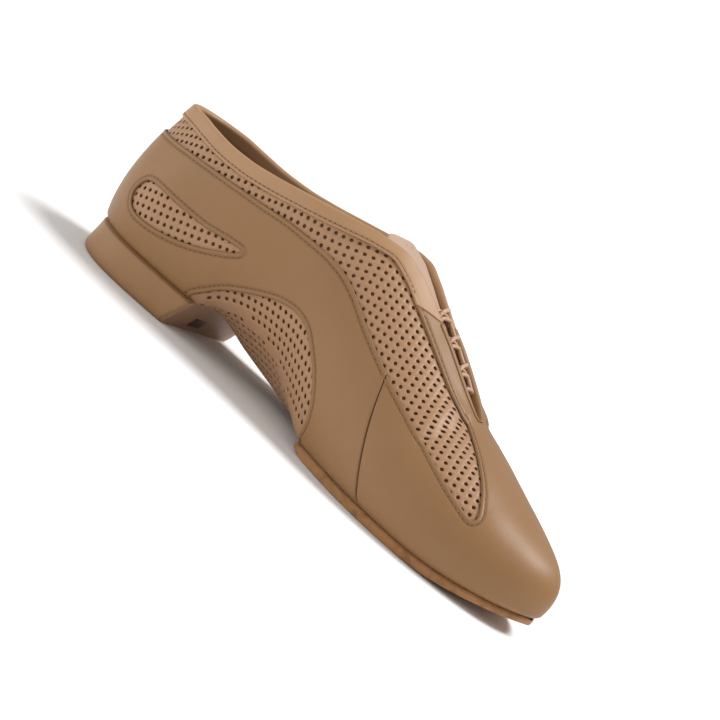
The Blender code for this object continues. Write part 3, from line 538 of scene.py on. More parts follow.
steps_down = np.linalg.norm(np.diff(SHEET, axis=1), axis=2)
GIRTH = np.concatenate([np.zeros((AROUND, 1)), np.cumsum(steps_down, axis=1)], axis=1)
MIDDLE_ROW = 28
along_step = np.linalg.norm(np.roll(SHEET, -1, axis=0) - SHEET, axis=2)[:, MIDDLE_ROW]
ALONG = np.concatenate([[0], np.cumsum(along_step[:LAST_COLUMN])])
ALONG_MEDIAL = np.concatenate([[0], np.cumsum(along_step[::-1][:LAST_COLUMN])])
EVEN_PAD = 40
EVEN_SPAN = 61
whole = GIRTH[:, SIDE_STEPS]
padded = np.concatenate([whole[EVEN_PAD:0:-1], whole[: LAST_COLUMN + EVEN_PAD + 1]])
evened = np.convolve(padded, np.ones(EVEN_SPAN) / EVEN_SPAN, "same")
EVEN_GIRTH = evened[EVEN_PAD: LAST_COLUMN + EVEN_PAD + 1]


def line_at(grid, column):
    """Rows of a sheet of numbers at columns between its own."""
    i = np.floor(column).astype(int)
    t = (column - i)[:, None]
    return grid[i % AROUND] * (1 - t) + grid[(i + 1) % AROUND] * t


def row_where(lines, values):
    """Row at which each rising line reaches its value."""
    low = np.clip((lines <= values[:, None]).sum(axis=1) - 1, 0, lines.shape[1] - 2)
    each = np.arange(len(values))
    a, b = lines[each, low], lines[each, low + 1]
    return low + np.clip((values - a) / np.maximum(b - a, 1e-9), 0, 1)


def row_at_height(column, height):
    column = np.atleast_1d(np.asarray(column, float))
    heights = -line_at(SHEET[:, : SIDE_STEPS + 1, 2], column)
    return row_where(heights, -np.broadcast_to(height, column.shape))


def row_at_girth(column, girth):
    column = np.atleast_1d(np.asarray(column, float))
    return row_where(line_at(GIRTH, column), np.broadcast_to(girth, column.shape))


def read_girth(column, row):
    """Distance down the side from the top line to a row."""
    lines = line_at(GIRTH, column)
    low = np.clip(np.floor(row).astype(int), 0, lines.shape[1] - 2)
    each = np.arange(len(low))
    part = row - low
    return lines[each, low] * (1 - part) + lines[each, low + 1] * part


def paired(column, row):
    """Columns and rows as two plain lists of numbers of one length."""
    column, row = np.broadcast_arrays(np.asarray(column, float), np.asarray(row, float))
    return column.ravel(), row.ravel()


def to_wall(column, row):
    """Flat pattern of the shoe's wall in mm: along from the back seam, and up from about the
    feather, with the same even foot line for both sides."""
    column, row = paired(column, row)
    index = np.arange(LAST_COLUMN + 1)
    along = np.where(
        column >= 0, np.interp(column, index, ALONG), -np.interp(-column, index, ALONG_MEDIAL)
    )
    up = np.interp(np.abs(column), index, EVEN_GIRTH) - read_girth(column, row)
    return np.stack([along, up], axis=1) / MM


def from_wall(flat):
    """Column and row of points on the wall's flat pattern."""
    index = np.arange(LAST_COLUMN + 1)
    along = flat[:, 0] * MM
    column = np.where(
        along >= 0, np.interp(along, ALONG, index), -np.interp(-along, ALONG_MEDIAL, index)
    )
    down = np.interp(np.abs(column), index, EVEN_GIRTH) - flat[:, 1] * MM
    return column, row_where(line_at(GIRTH, column), down)


def slit_half(station, side):
    """Half width of the open throat."""
    return np.where(station < THROAT_END, half_width(OPENING, station, side), 0.0)


def to_top(column, row):
    """Flat pattern of the forepart in mm, unrolled to either side of the ridge."""
    column, row = paired(column, row)
    side = np.where(column >= 0, 1.0, -1.0)
    station = station_at(column)
    down = read_girth(column, row)
    half = np.where(side > 0, slit_half(station, 1), slit_half(station, -1))
    angle = np.arcsin(np.clip((station - TOE_PIVOT) / (LENGTH - TOE_PIVOT), 0, 1))
    x = np.minimum(station, TOE_PIVOT) + np.sin(angle) * down
    return np.stack([x, side * np.cos(angle) * (down + half)], axis=1) / MM


def from_top(flat):
    """Column and row of points on the forepart's flat pattern."""
    x, y = flat[:, 0] * MM, flat[:, 1] * MM
    side = np.where(y >= 0, 1.0, -1.0)
    angle = np.arctan2(np.maximum(x - TOE_PIVOT, 0), np.abs(y))
    station = np.where(x <= TOE_PIVOT, x, TOE_PIVOT + (LENGTH - TOE_PIVOT) * np.sin(angle))
    half = np.where(side > 0, slit_half(station, 1), slit_half(station, -1))
    down = np.where(x <= TOE_PIVOT, np.abs(y) - half, np.hypot(x - TOE_PIVOT, y))
    column = column_at(station, side)
    return column, row_where(line_at(GIRTH, column), down)


# The overlays' edges: the quarter's upper edge, the leather beside the slit and ridge, and the cut
# over the arch bound the windows through which the perforated leather shows.
QUARTER_EDGE = (
    # along, height
    (0.000, 0.690),
    (0.080, 0.705),
    (0.182, 0.735),
    (0.277, 0.765),
    (0.350, 0.788),
    (0.410, 0.790),
    (0.450, 0.776),
    (0.480, 0.750),
    (0.510, 0.708),
    (0.545, 0.655),
    (0.590, 0.595),
    (0.642, 0.535),
    (0.727, 0.450),
    (0.762, 0.415),
    (0.833, 0.350),
    (0.880, 0.315),
    (1.000, 0.290),
)
VAMP_CENTRE = (
    # along, width
    (0.562, 0.98),
    (0.604, 1.00),
    (0.688, 1.02),
    (0.734, 1.16),
    (0.771, 1.50),
    (0.812, 2.00),
    (0.846, 2.55),
    (0.880, 3.60),
    (1.000, 8.00),
)
ARCH_CUT = (
    # along, height
    (0.262, 0.190),
    (0.304, 0.320),
    (0.358, 0.415),
    (0.400, 0.470),
    (0.432, 0.492),
    (0.460, 0.480),
    (0.492, 0.425),
    (0.525, 0.350),
    (0.555, 0.250),
    (0.572, 0.155),
)
DROP_WINDOW = (
    # along, height
    (0.084, 0.470),
    (0.077, 0.400),
    (0.094, 0.338),
    (0.130, 0.325),
    (0.205, 0.372),
    (0.265, 0.455),
    (0.302, 0.532),
    (0.225, 0.500),
    (0.145, 0.492),
    (0.097, 0.488),
)
BAND_WIDTH = 5.8 * MM
EYESTAY_WIDTH = 9 * MM
quarter_edge = share_curve(QUARTER_EDGE, 1, INSTEP_HEIGHT)
centre_width = share_curve(VAMP_CENTRE, 1, EYESTAY_WIDTH)
arch_cut = share_curve(ARCH_CUT, 1, INSTEP_HEIGHT)


def strip_rows(column):
    """Rows of the perforated strip's upper and lower edge."""
    column = np.atleast_1d(np.asarray(column, float))
    station = station_at(column)
    lower = row_at_height(column, quarter_edge(station))
    widened = VAMP_CENTRE[0][0] * LENGTH
    share = np.clip((station - THROAT_TOP) / (widened - THROAT_TOP), 0, 1)
    width = BAND_WIDTH + (centre_width(np.maximum(station, widened)) - BAND_WIDTH) * share
    return np.minimum(row_at_girth(column, width), lower), lower


def put_mesh(name, points, faces):
    """A smooth object from points and faces given by their numbers."""
    mesh = bpy.data.meshes.new(name)
    mesh.from_pydata([tuple(p) for p in points], [], [tuple(int(k) for k in f) for f in faces])
    mesh.validate()
    mesh.shade_smooth()
    thing = bpy.data.objects.new(name, mesh)
    bpy.context.scene.collection.objects.link(thing)
    return thing


def laid_grid(name, places):
    """A grid primitive whose points are laid on places, an array of columns of rows of points."""
    columns, rows = places.shape[:2]
    bpy.ops.mesh.primitive_grid_add(x_subdivisions=columns - 1, y_subdivisions=rows - 1, size=1)
    thing = bpy.context.object
    thing.name = name
    thing.data.name = name
    grid = places.transpose(1, 0, 2).reshape(-1, 3)
    thing.data.vertices.foreach_set("co", grid.astype(np.float32).ravel())
    thing.data.update()
    thing.data.shade_smooth()
    return thing


def close_seams(thing, reach=0.02 * MM, slivers=True, ends=False, split=False):
    """Merge the points that meet, dissolve slivers, close open ends, split the faces that do so,
    and turn all faces outwards."""
    form = bmesh.new()
    form.from_mesh(thing.data)
    bmesh.ops.remove_doubles(form, verts=form.verts, dist=reach)
    if slivers:
        bmesh.ops.dissolve_degenerate(form, edges=form.edges, dist=1e-6)
    if ends:
        open_edges = [edge for edge in form.edges if edge.is_boundary]
        bmesh.ops.holes_fill(form, edges=open_edges, sides=0)
    if split:
        bmesh.ops.triangulate(form, faces=[face for face in form.faces if len(face.verts) > 4])
    bmesh.ops.recalc_face_normals(form, faces=form.faces)
    form.to_mesh(thing.data)
    form.free()


def face_out(thing, flip=False):
    """Turn an open sheet's faces away from the foot, or towards it."""
    mesh = thing.data
    foot = Vector((0, 0, INSTEP_HEIGHT / 3))
    outwards = sum((f.center - foot).dot(f.normal) * f.area for f in mesh.polygons) > 0
    if outwards == flip:
        mesh.flip_normals()


def apply_modifiers(thing):
    bpy.context.view_layer.objects.active = thing
    thing.select_set(True)
    for modifier in list(thing.modifiers):
        bpy.ops.object.modifier_apply(modifier=modifier.name)
    thing.select_set(False)


def thicken(thing, thickness):
    """Give a sheet its wall on the side away from its normals."""
    wall = thing.modifiers.new("wall", "SOLIDIFY")
    wall.thickness = thickness
    wall.offset = -1.0
    apply_modifiers(thing)


def new_material(name, roughness, coat=0.0):
    made = bpy.data.materials.new(name)
    made.use_nodes = True
    shader = made.node_tree.nodes["Principled BSDF"]
    shader.inputs["Roughness"].default_value = roughness
    shader.inputs["Coat Weight"].default_value = coat
    shader.inputs["Coat Roughness"].default_value = 0.4
    shader.inputs["Specular IOR Level"].default_value = 0.32
    return made, made.node_tree.nodes, made.node_tree.links, shader


def group_with(name, inputs, outputs):
    """An empty shader group with its sockets."""
    group = bpy.data.node_groups.new(name, "ShaderNodeTree")
    for label, kind, value in inputs:
        socket = group.interface.new_socket(label, in_out="INPUT", socket_type=kind)
        socket.default_value = value
    for label, kind in outputs:
        group.interface.new_socket(label, in_out="OUTPUT", socket_type=kind)
    return group, group.nodes.new("NodeGroupInput"), group.nodes.new("NodeGroupOutput")


def noise(group, scale, detail, roughness=0.5, kind="ShaderNodeTexNoise"):
    node = group.nodes.new(kind)
    node.inputs["Scale"].default_value = scale
    if kind == "ShaderNodeTexNoise":
        node.inputs["Detail"].default_value = detail
        node.inputs["Roughness"].default_value = roughness
    return node


def feed(group, socket, value):
    """Link a socket, or set its value."""
    if isinstance(value, bpy.types.NodeSocket):
        group.links.new(value, socket)
    else:
        socket.default_value = value


def math_node(group, operation, *values):
    node = group.nodes.new("ShaderNodeMath")
    node.operation = operation
    for socket, value in zip(node.inputs, values):
        feed(group, socket, value)
    return node.outputs[0]


def clamped(group, value):
    node = group.nodes.new("ShaderNodeClamp")
    feed(group, node.inputs["Value"], value)
    return node.outputs[0]


def mixed(group, share, a, b, blend="MIX"):
    node = group.nodes.new("ShaderNodeMix")
    node.data_type = "RGBA"
    node.blend_type = blend
    for label, value in (("Factor_Float", share), ("A_Color", a), ("B_Color", b)):
        feed(group, next(s for s in node.inputs if s.identifier == label), value)
    return next(s for s in node.outputs if s.identifier == "Result_Color")


def build_leather_group():
    """Calf leather: fine pebbled grain, cloudy dye, and painted shade that darkens it by the Edge input.
    """
    group, into, out = group_with(
        "leather surface",
        [
            ("Colour", "NodeSocketColor", (0.35, 0.2, 0.1, 1)),
            ("Warm", "NodeSocketColor", (0.4, 0.22, 0.1, 1)),
            ("Dark", "NodeSocketColor", (0.2, 0.1, 0.05, 1)),
            ("Grain", "NodeSocketFloat", 1.0),
            ("Edge", "NodeSocketFloat", 0.0),
        ],
        [("Colour", "NodeSocketColor"), ("Height", "NodeSocketFloat"), ("Roughness", "NodeSocketFloat")],
    )
    where = group.nodes.new("ShaderNodeTexCoord").outputs["Object"]
    cells = noise(group, 1500, 0, kind="ShaderNodeTexVoronoi")
    fine = noise(group, 2600, 3, 0.6)
    cloud = noise(group, 28, 3, 0.55)
    patch = noise(group, 55, 5, 0.7)
    for node in (cells, fine, cloud, patch):
        group.links.new(where, node.inputs["Vector"])
    pebble = math_node(group, "MULTIPLY", cells.outputs["Distance"], 0.7)
    grain = math_node(group, "ADD", pebble, math_node(group, "MULTIPLY", fine.outputs["Fac"], 0.5))
    grain = math_node(group, "MULTIPLY", grain, into.outputs["Grain"])
    height = math_node(group, "ADD", grain, math_node(group, "MULTIPLY", patch.outputs["Fac"], 2.5))
    clouds = math_node(group, "SUBTRACT", cloud.outputs["Fac"], 0.5)
    warm_share = clamped(group, math_node(group, "MULTIPLY_ADD", clouds, 1.5, 0.85))
    base = mixed(group, warm_share, into.outputs["Colour"], into.outputs["Warm"])
    spots = math_node(group, "SUBTRACT", patch.outputs["Fac"], 0.42)
    dark_share = clamped(group, math_node(group, "MULTIPLY", spots, 0.3))
    spotted = mixed(group, dark_share, base, into.outputs["Dark"])
    # Painted shade: the Edge input darkens the colour towards Dark.
    edge_shaded = mixed(group, into.outputs["Edge"], spotted, into.outputs["Dark"])
    group.links.new(edge_shaded, out.inputs["Colour"])
    group.links.new(height, out.inputs["Height"])
    rough = math_node(group, "MULTIPLY_ADD", patch.outputs["Fac"], 0.16, 0.385)
    group.links.new(rough, out.inputs["Roughness"])
    return group


LEATHER_GROUP = build_leather_group()


def leather(name, colour, warm, dark, grain=1.0, depth=0.06 * MM, edge=False, coat=0.0):
    """A leather finish from the shared surface, with its own dye."""
    made, nodes, links, shader = new_material(name, 0.5, coat)
    surface = nodes.new("ShaderNodeGroup")
    surface.node_tree = LEATHER_GROUP
    for label, value in (("Colour", colour), ("Warm", warm), ("Dark", dark)):
        surface.inputs[label].default_value = (*value, 1)
    surface.inputs["Grain"].default_value = grain
    # The edge attribute holds painted shade along edges and joints.
    if edge:
        painted_shade = nodes.new("ShaderNodeAttribute")
        painted_shade.attribute_name = "edge"
        links.new(painted_shade.outputs["Fac"], surface.inputs["Edge"])
    bump = nodes.new("ShaderNodeBump")
    bump.inputs["Distance"].default_value = depth
    bump.inputs["Strength"].default_value = 0.5
    links.new(surface.outputs["Height"], bump.inputs["Height"])
    links.new(bump.outputs["Normal"], shader.inputs["Normal"])
    links.new(surface.outputs["Colour"], shader.inputs["Base Color"])
    links.new(surface.outputs["Roughness"], shader.inputs["Roughness"])
    return made


HOLE_PITCH = 3.2
HOLE_RADIUS = 0.72
HOLE_RIM = 0.17
HOLE_SINK = 0.12
PUNCHED_PAST = 1.2
PLAIN_PAST = 3.2
SKIN_OUT = 0.45 * MM
SKIN_WALL = 0.8 * MM
LATTICE_TURN = 20
perforated = leather(
    "perforated leather", (0.325, 0.178, 0.094), (0.355, 0.198, 0.106), (0.19, 0.09, 0.04), 1.2
)
lining_cloth = leather("lining", (0.150, 0.068, 0.034), (0.175, 0.082, 0.042), (0.08, 0.036, 0.018), 2)


def lattice_state(slack):
    """1 for a punched square, 0 for a plain one and -1 for none, by its distance inside an edge."""
    return np.where(slack > -PUNCHED_PAST, 1, np.where(slack > -PLAIN_PAST, 0, -1))


def within(points, starts, ends):
    """Which points lie inside closed outlines, holes left out."""
    crossings = np.zeros(len(points), int)
    for a, b in zip(starts, ends):
        spans = (a[1] > points[:, 1]) != (b[1] > points[:, 1])
        rise = b[1] - a[1] if abs(b[1] - a[1]) > 1e-12 else 1e-12
        crossings += spans & (points[:, 0] < a[0] + (points[:, 1] - a[1]) / rise * (b[0] - a[0]))
    return crossings % 2 == 1


def closed_edges(loops):
    """The straight pieces of closed outlines, as their starts and their ends."""
    return np.vstack(loops), np.vstack([np.roll(loop, -1, axis=0) for loop in loops])


def punched_skin(name, inside, box, angle, place, clamp=None):
    """Leather with a square lattice of round holes, where inside says so, laid by place."""
    angle = math.radians(angle)
    axis = np.array([[math.cos(angle), math.sin(angle)], [-math.sin(angle), math.cos(angle)]])
    corners = np.array([(x, y) for x in box[0] for y in box[1]]) @ axis.T
    low = np.floor(corners.min(axis=0) / HOLE_PITCH).astype(int) - 1
    high = np.ceil(corners.max(axis=0) / HOLE_PITCH).astype(int) + 1
    third = HOLE_PITCH / 6
    half = HOLE_PITCH / 2
    rim = [(half, half), (third, half), (-third, half), (-half, half), (-half, third), (-half, -third)]
    rim += [(-x, -y) for x, y in rim]
    rim = np.array(rim)
    around = np.radians(45 + 30 * np.arange(len(rim)))
    circle = np.stack([np.cos(around), np.sin(around)], axis=1)
    rings = (rim, circle * (HOLE_RADIUS + HOLE_RIM), circle * HOLE_RADIUS)
    sinks = (0.0, 0.0, HOLE_SINK)
    points, depth, faces, known = [], [], [], {}

    def number(point, sink):
        key = (round(point[0], 3), round(point[1], 3))
        if key not in known:
            known[key] = len(points)
            points.append(point)
            depth.append(sink)
        return known[key]

    grid = [(i, j) for i in range(low[0], high[0]) for j in range(low[1], high[1])]
    middles = (np.array(grid) + 0.5) * HOLE_PITCH
    for middle, punched in zip(middles, inside(middles @ axis)):
        if punched < 0:
            continue
        loops = [
            [number(p, sink) for p in (ring + middle) @ axis] for ring, sink in zip(rings, sinks)
        ]
        if punched == 0:
            faces.append(loops[0])
            continue
        for outer, inner in zip(loops, loops[1:]):
            for k in range(len(rim)):
                after = (k + 1) % len(rim)
                faces.append((outer[k], outer[after], inner[after], inner[k]))
    points = np.array(points)
    if clamp is not None:
        points = clamp(points)
    skin = put_mesh(name, place(points, np.array(depth) * MM), faces)
    close_seams(skin, 0.005 * MM)
    face_out(skin)
    thicken(skin, SKIN_WALL)
    skin.data.materials.append(perforated)
    return skin


# The lining is the whole inside of the shoe in one dark shell, from the top line to the margin.
columns = np.concatenate([np.arange(0, AROUND, 1.5), [AROUND]])
rows = [[0.0, 0.6], np.arange(1.5, SIDE_STEPS, 2), np.arange(SIDE_STEPS, LAST_ROW + 0.1, 2)]
lining = laid_grid("upper_lining", on_last(columns[:, None], np.concatenate(rows)[None, :], -WALL))
close_seams(lining)
face_out(lining, flip=True)
thicken(lining, WALL - SKIN_WALL + SKIN_OUT - 0.1 * MM)
lining.data.materials.append(lining_cloth)
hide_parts("upper")
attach(lining, "root")

STRIP_TIP = 0.854 * LENGTH
WALL_RANGE = (5, 70)
AROUND_WINDOW = 3
PAST_BACK_SEAM = 1.4


def wall_place(flat, depth):
    """Points of the skin from the wall's flat pattern."""
    column, row = from_wall(flat)
    return on_last(column, row, SKIN_OUT - depth)


def drop_window(side, steps):
    """Outline of a drop window on the wall's flat pattern."""
    window = closed_curve([(a * LENGTH, h * INSTEP_HEIGHT) for a, h in DROP_WINDOW], steps)
    columns = column_at(window[:, 0], side)
    return to_wall(columns, row_at_height(columns, window[:, 1]))


for side, word in ((1, "lateral"), (-1, "medial")):
    columns = side * np.arange(0, column_at(STRIP_TIP, 1) + 4, 0.5)
    upper_line, lower_line = (to_wall(columns, row) for row in strip_rows(columns))

    def in_strip(points, upper_line=upper_line, lower_line=lower_line, side=side):
        along = points[:, 0] * side
        high = np.interp(along, upper_line[:, 0] * side, upper_line[:, 1])
        low = np.interp(along, lower_line[:, 0] * side, lower_line[:, 1])
        slack = np.minimum(high - points[:, 1], points[:, 1] - low)
        ahead = upper_line[-1, 0] * side - along
        return lattice_state(np.minimum(np.minimum(slack, ahead), along + PAST_BACK_SEAM))

    def at_seam(points, side=side):
        points = points.copy()
        points[:, 0] = side * np.maximum(points[:, 0] * side, 0.12)
        return points

    box = ((0, upper_line[-1, 0]), WALL_RANGE)
    skin = punched_skin(
        "perforated_strip_" + word, in_strip, box, LATTICE_TURN * side, wall_place, at_seam
    )
    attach(skin, "root")

    outline = drop_window(side, 4)

    def in_window(points, outline=outline):
        gap = np.linalg.norm(points[:, None] - outline[None], axis=2).min(axis=1)
        return lattice_state(np.where(within(points, *closed_edges([outline])), gap, -gap))

    box = [(line.min() - AROUND_WINDOW, line.max() + AROUND_WINDOW) for line in outline.T]
    skin = punched_skin("perforated_window_" + word, in_window, box, LATTICE_TURN * side, wall_place)
    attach(skin, "root")

# Arch: the same punched leather closes the waist underneath, from the medial arch cut round the
# fold and the under side to the lateral cut, because the split sole leaves it bare.
ARCH_FROM = 56 * MM
ARCH_TO = 143 * MM
ACROSS_STEPS = 14
CLOSED_ROW = 51.0
FOLD_ROW = 50
FOLD_BAND = 2.2
waist_stations = np.arange(ARCH_FROM, ARCH_TO, MM)


def waist_sheet():
    """Lines from the medial top line down, under the waist and up to the lateral top line."""
    lines = []
    rows = np.arange(LAST_ROW + 1.0)
    for station in waist_stations:
        column = column_at(station, 1)
        medial = read_sheet(SHEET, np.full(len(rows), -column), rows)
        lateral = read_sheet(SHEET, np.full(len(rows), column), rows)
        ends = []
        for line in (medial, lateral):
            ahead = line[-1] - line[-3]
            ends.append((line[-1], ahead / np.linalg.norm(ahead)))
        (a, out_a), (b, out_b) = ends
        pull = np.linalg.norm(a - b) / 3
        under = bezier(a, a + out_a * pull, b + out_b * pull, b, ACROSS_STEPS)
        lines.append(np.vstack([medial, under[1:-1], lateral[::-1]]))
    return np.array(lines)


WAIST_SHEET = waist_sheet()
WAIST_MIDDLE = WAIST_SHEET.shape[1] // 2
WAIST_NORMALS = np.cross(np.gradient(WAIST_SHEET, axis=1), np.gradient(WAIST_SHEET, axis=0))
WAIST_NORMALS /= np.linalg.norm(WAIST_NORMALS, axis=2, keepdims=True)
if WAIST_NORMALS[len(WAIST_SHEET) // 2, WAIST_MIDDLE, 2] > 0:
    WAIST_NORMALS = -WAIST_NORMALS
across_steps = np.linalg.norm(np.diff(WAIST_SHEET, axis=1), axis=2)
ACROSS = np.concatenate([np.zeros((len(WAIST_SHEET), 1)), np.cumsum(across_steps, axis=1)], axis=1)
ACROSS -= ACROSS[:, WAIST_MIDDLE: WAIST_MIDDLE + 1]
fold_lines = [ACROSS[:, row] / MM for row in (FOLD_ROW, WAIST_SHEET.shape[1] - 1 - FOLD_ROW)]


def read_open(grid, i_at, j_at):
    """Smooth reading of a sheet with two open ends."""
    i = np.clip(np.floor(i_at).astype(int), 0, grid.shape[0] - 2)
    j = np.clip(np.floor(j_at).astype(int), 0, grid.shape[1] - 2)
    total = 0
    for a, share_a in enumerate(cubic_shares(i_at - i)):
        for b, share_b in enumerate(cubic_shares(j_at - j)):
            rows = np.clip(i + a - 1, 0, grid.shape[0] - 1)
            columns = np.clip(j + b - 1, 0, grid.shape[1] - 1)
            total = total + grid[rows, columns] * (share_a * share_b)[..., None]
    return total


def waist_place(flat, depth):
    """Points under the waist from their station and distance across, both in mm."""
    i_at = np.clip((flat[:, 0] * MM - ARCH_FROM) / MM, 0, len(WAIST_SHEET) - 1.001)
    i = np.floor(i_at).astype(int)
    t = (i_at - i)[:, None]
    lines = ACROSS[i] * (1 - t) + ACROSS[i + 1] * t
    j_at = row_where(lines, flat[:, 1] * MM)
    place = read_open(WAIST_SHEET, i_at, j_at)
    normal = read_open(WAIST_NORMALS, i_at, j_at)
    normal /= np.linalg.norm(normal, axis=1, keepdims=True)
    return place + normal * (SKIN_OUT - depth)[:, None] + OFFSET


def arch_limits():
    """Distance across from the middle to the arch cut of either side, at each station, in mm."""
    limits = []
    for side in (-1, 1):
        column = column_at(waist_stations, side)
        row = row_at_height(column, arch_cut(waist_stations))
        share = waist_stations / LENGTH
        row = np.where((share > ARCH_CUT[0][0]) & (share < ARCH_CUT[-1][0]), row, CLOSED_ROW)
        each = np.arange(len(waist_stations))
        at = row if side < 0 else WAIST_SHEET.shape[1] - 1 - row
        low = np.floor(at).astype(int)
        limits.append((ACROSS[each, low] * (1 - at + low) + ACROSS[each, low + 1] * (at - low)) / MM)
    return limits


medial_limit, lateral_limit = arch_limits()


def in_arch(points):
    low = np.interp(points[:, 0], waist_stations / MM, medial_limit)
    high = np.interp(points[:, 0], waist_stations / MM, lateral_limit)
    slack = np.minimum(points[:, 1] - low, high - points[:, 1])
    ends = np.minimum(points[:, 0] - ARCH_FROM / MM - 1, ARCH_TO / MM - 2 - points[:, 0])
    slack = np.minimum(slack, ends)
    folds = [np.interp(points[:, 0], waist_stations / MM, line) for line in fold_lines]
    plain = np.minimum.reduce([np.abs(points[:, 1] - fold) for fold in folds]) < FOLD_BAND / 2 + 0.6
    state = lattice_state(slack)
    state = np.where((state == 0) & (ends <= 0), -1, state)
    return np.where(plain & (state > 0), 0, state)


arch = punched_skin(
    "perforated_arch",
    in_arch,
    ((ARCH_FROM / MM, ARCH_TO / MM), (medial_limit.min() - 4, lateral_limit.max() + 4)),
    -LATTICE_TURN,
    waist_place,
)
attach(arch, "root")

# Quarter: smooth leather cut in one round the heel and both sides, its edges turned and stitched
# 2 mm in, with a drop window each side; it laps over the vamp along a slanting seam.
SEAM_AT_STRIP = 0.621 * LENGTH
SEAM_AT_FEATHER = 0.733 * LENGTH
OVERLAY_OUT = 1.5 * MM
OVERLAY_WALL = 1.0 * MM
UNDER_OUT = 0.25 * MM
EDGE_DROP = 0.55 * MM
EDGE_ROUND = 0.6
SWELL = 0.10 * MM
SWELL_INSET = 0.8
SWELL_WIDTH = 0.5
STITCH_INSET = 1.9
STITCH_PITCH = 2.2
GROOVE = 0.24 * MM
GROOVE_WIDTH = 0.42
OUTLINE_PACE = 1.1
FIELD_PACE = 1.8
RING_GAPS = (0.0, 0.13, 0.32, 0.6, 1.0, 1.45, 1.7, 1.9, 2.1, 2.5, 3.2)
TUCK_ROW = 51.5
EYESTAY_SEAM_AT_SLIT = 0.596 * LENGTH
FOLD_WIDTH = 4.6
FOLD_RISE = 0.4 * MM
FOLD_EASE = 9 * MM
smooth_leather = leather(
    "smooth leather", (0.218, 0.110, 0.036), (0.262, 0.136, 0.056), (0.11, 0.050, 0.016), 1.0, edge=True
)


def evenly(line, pace):
    """An open line's points at even distances of about a pace."""
    steps = np.linalg.norm(np.diff(line, axis=0), axis=1)
    along = np.concatenate([[0], np.cumsum(steps)])
    count = max(2, int(round(along[-1] / pace)) + 1)
    marks = np.linspace(0, along[-1], count)
    return np.stack([np.interp(marks, along, line[:, k]) for k in range(line.shape[1])], axis=1)


def gap_to(points, starts, ends):
    """Distance from points to the nearest of some straight pieces."""
    nearest = np.full(len(points), 1e9)
    for first in range(0, len(starts), 200):
        a, b = starts[first: first + 200], ends[first: first + 200]
        along = b - a
        length = np.maximum((along**2).sum(axis=1), 1e-12)
        for low in range(0, len(points), 4000):
            part = points[low: low + 4000]
            t = np.clip(((part[:, None] - a[None]) * along[None]).sum(axis=2) / length, 0, 1)
            foot = a[None] + t[..., None] * along[None]
            gap = np.linalg.norm(part[:, None] - foot, axis=2).min(axis=1)
            nearest[low: low + 4000] = np.minimum(nearest[low: low + 4000], gap)
    return nearest


def edge_segments(*lines):
    """The straight pieces of open lines, as their starts and their ends."""
    return np.vstack([line[:-1] for line in lines]), np.vstack([line[1:] for line in lines])


def turned_left(loop, wanted):
    """The loop, run so that the leather lies on its left."""
    x, y = loop[:, 0], loop[:, 1]
    area = (x * np.roll(y, -1) - np.roll(x, -1) * y).sum()
    return loop if (area > 0) == wanted else loop[::-1]


def offset_line(line, gap, closed):
    """A line moved to its left."""
    if closed:
        back, ahead = line - np.roll(line, 1, axis=0), np.roll(line, -1, axis=0) - line
    else:
        steps = np.diff(line, axis=0)
        back, ahead = np.vstack([steps[:1], steps]), np.vstack([steps, steps[-1:]])
    back = back / np.linalg.norm(back, axis=1, keepdims=True)
    ahead = ahead / np.linalg.norm(ahead, axis=1, keepdims=True)
    both = back + ahead
    both = both / np.maximum(np.linalg.norm(both, axis=1, keepdims=True), 1e-9)
    normal = np.stack([-both[:, 1], both[:, 0]], axis=1)
    cosine = np.clip((both * ahead).sum(axis=1), 0.4, 1)[:, None]
    return line + normal * gap / cosine


def fill_panel(loops):
    """Points and triangles between outlines, with rows of points along every edge."""
    loops = [turned_left(loop, number == 0) for number, loop in enumerate(loops)]
    starts, ends = closed_edges(loops)
    points, edges = [], []
    for loop in loops:
        for gap in RING_GAPS:
            ring = offset_line(loop, gap, True)
            if gap == 0:
                kept = np.ones(len(ring), bool)
            else:
                kept = (gap_to(ring, starts, ends) > gap * 0.96) & within(ring, starts, ends)
            number = np.full(len(ring), -1)
            number[kept] = len(points) + np.arange(kept.sum())
            points.extend(ring[kept])
            for k in range(len(ring)):
                after = (k + 1) % len(ring)
                if kept[k] and kept[after]:
                    edges.append((int(number[k]), int(number[after])))
    low, high = starts.min(axis=0), starts.max(axis=0)
    across, up = np.arange(low[0], high[0], FIELD_PACE), np.arange(low[1], high[1], FIELD_PACE * 0.87)
    mesh_x, mesh_y = np.meshgrid(across, up, indexing="ij")
    mesh_x[:, 1::2] += FIELD_PACE / 2
    field = np.stack([mesh_x.ravel(), mesh_y.ravel()], axis=1)
    field = field[within(field, starts, ends)]
    field = field[gap_to(field, starts, ends) > RING_GAPS[-1] + FIELD_PACE * 0.45]
    points.extend(field)
    result = delaunay_2d_cdt([Vector(p) for p in points], edges, [], 0, 1e-5, False)
    flat = np.array([tuple(v) for v in result[0]])
    faces = np.array([f for f in result[2] if len(f) == 3])
    return flat, faces[within(flat[faces].mean(axis=1), starts, ends)]


def fold_rise(column):
    """How far the eyestays' turned edge stands up, growing from the collar's seam."""
    share = np.clip((station_at(column) - EYESTAY_SEAM_AT_SLIT) / FOLD_EASE, 0, 1)
    return FOLD_RISE * share * share * (3 - 2 * share)


def edge_drop(share):
    """How far a cut edge is rolled down, from its rim at 0 to where it is level at 1."""
    return EDGE_DROP * (1 - np.sqrt(1 - (1 - share) ** 2))


def hump(gap, inset, width):
    """A soft hump along an edge, at a distance in from it."""
    return np.exp(-(((gap - inset) / width) ** 2))


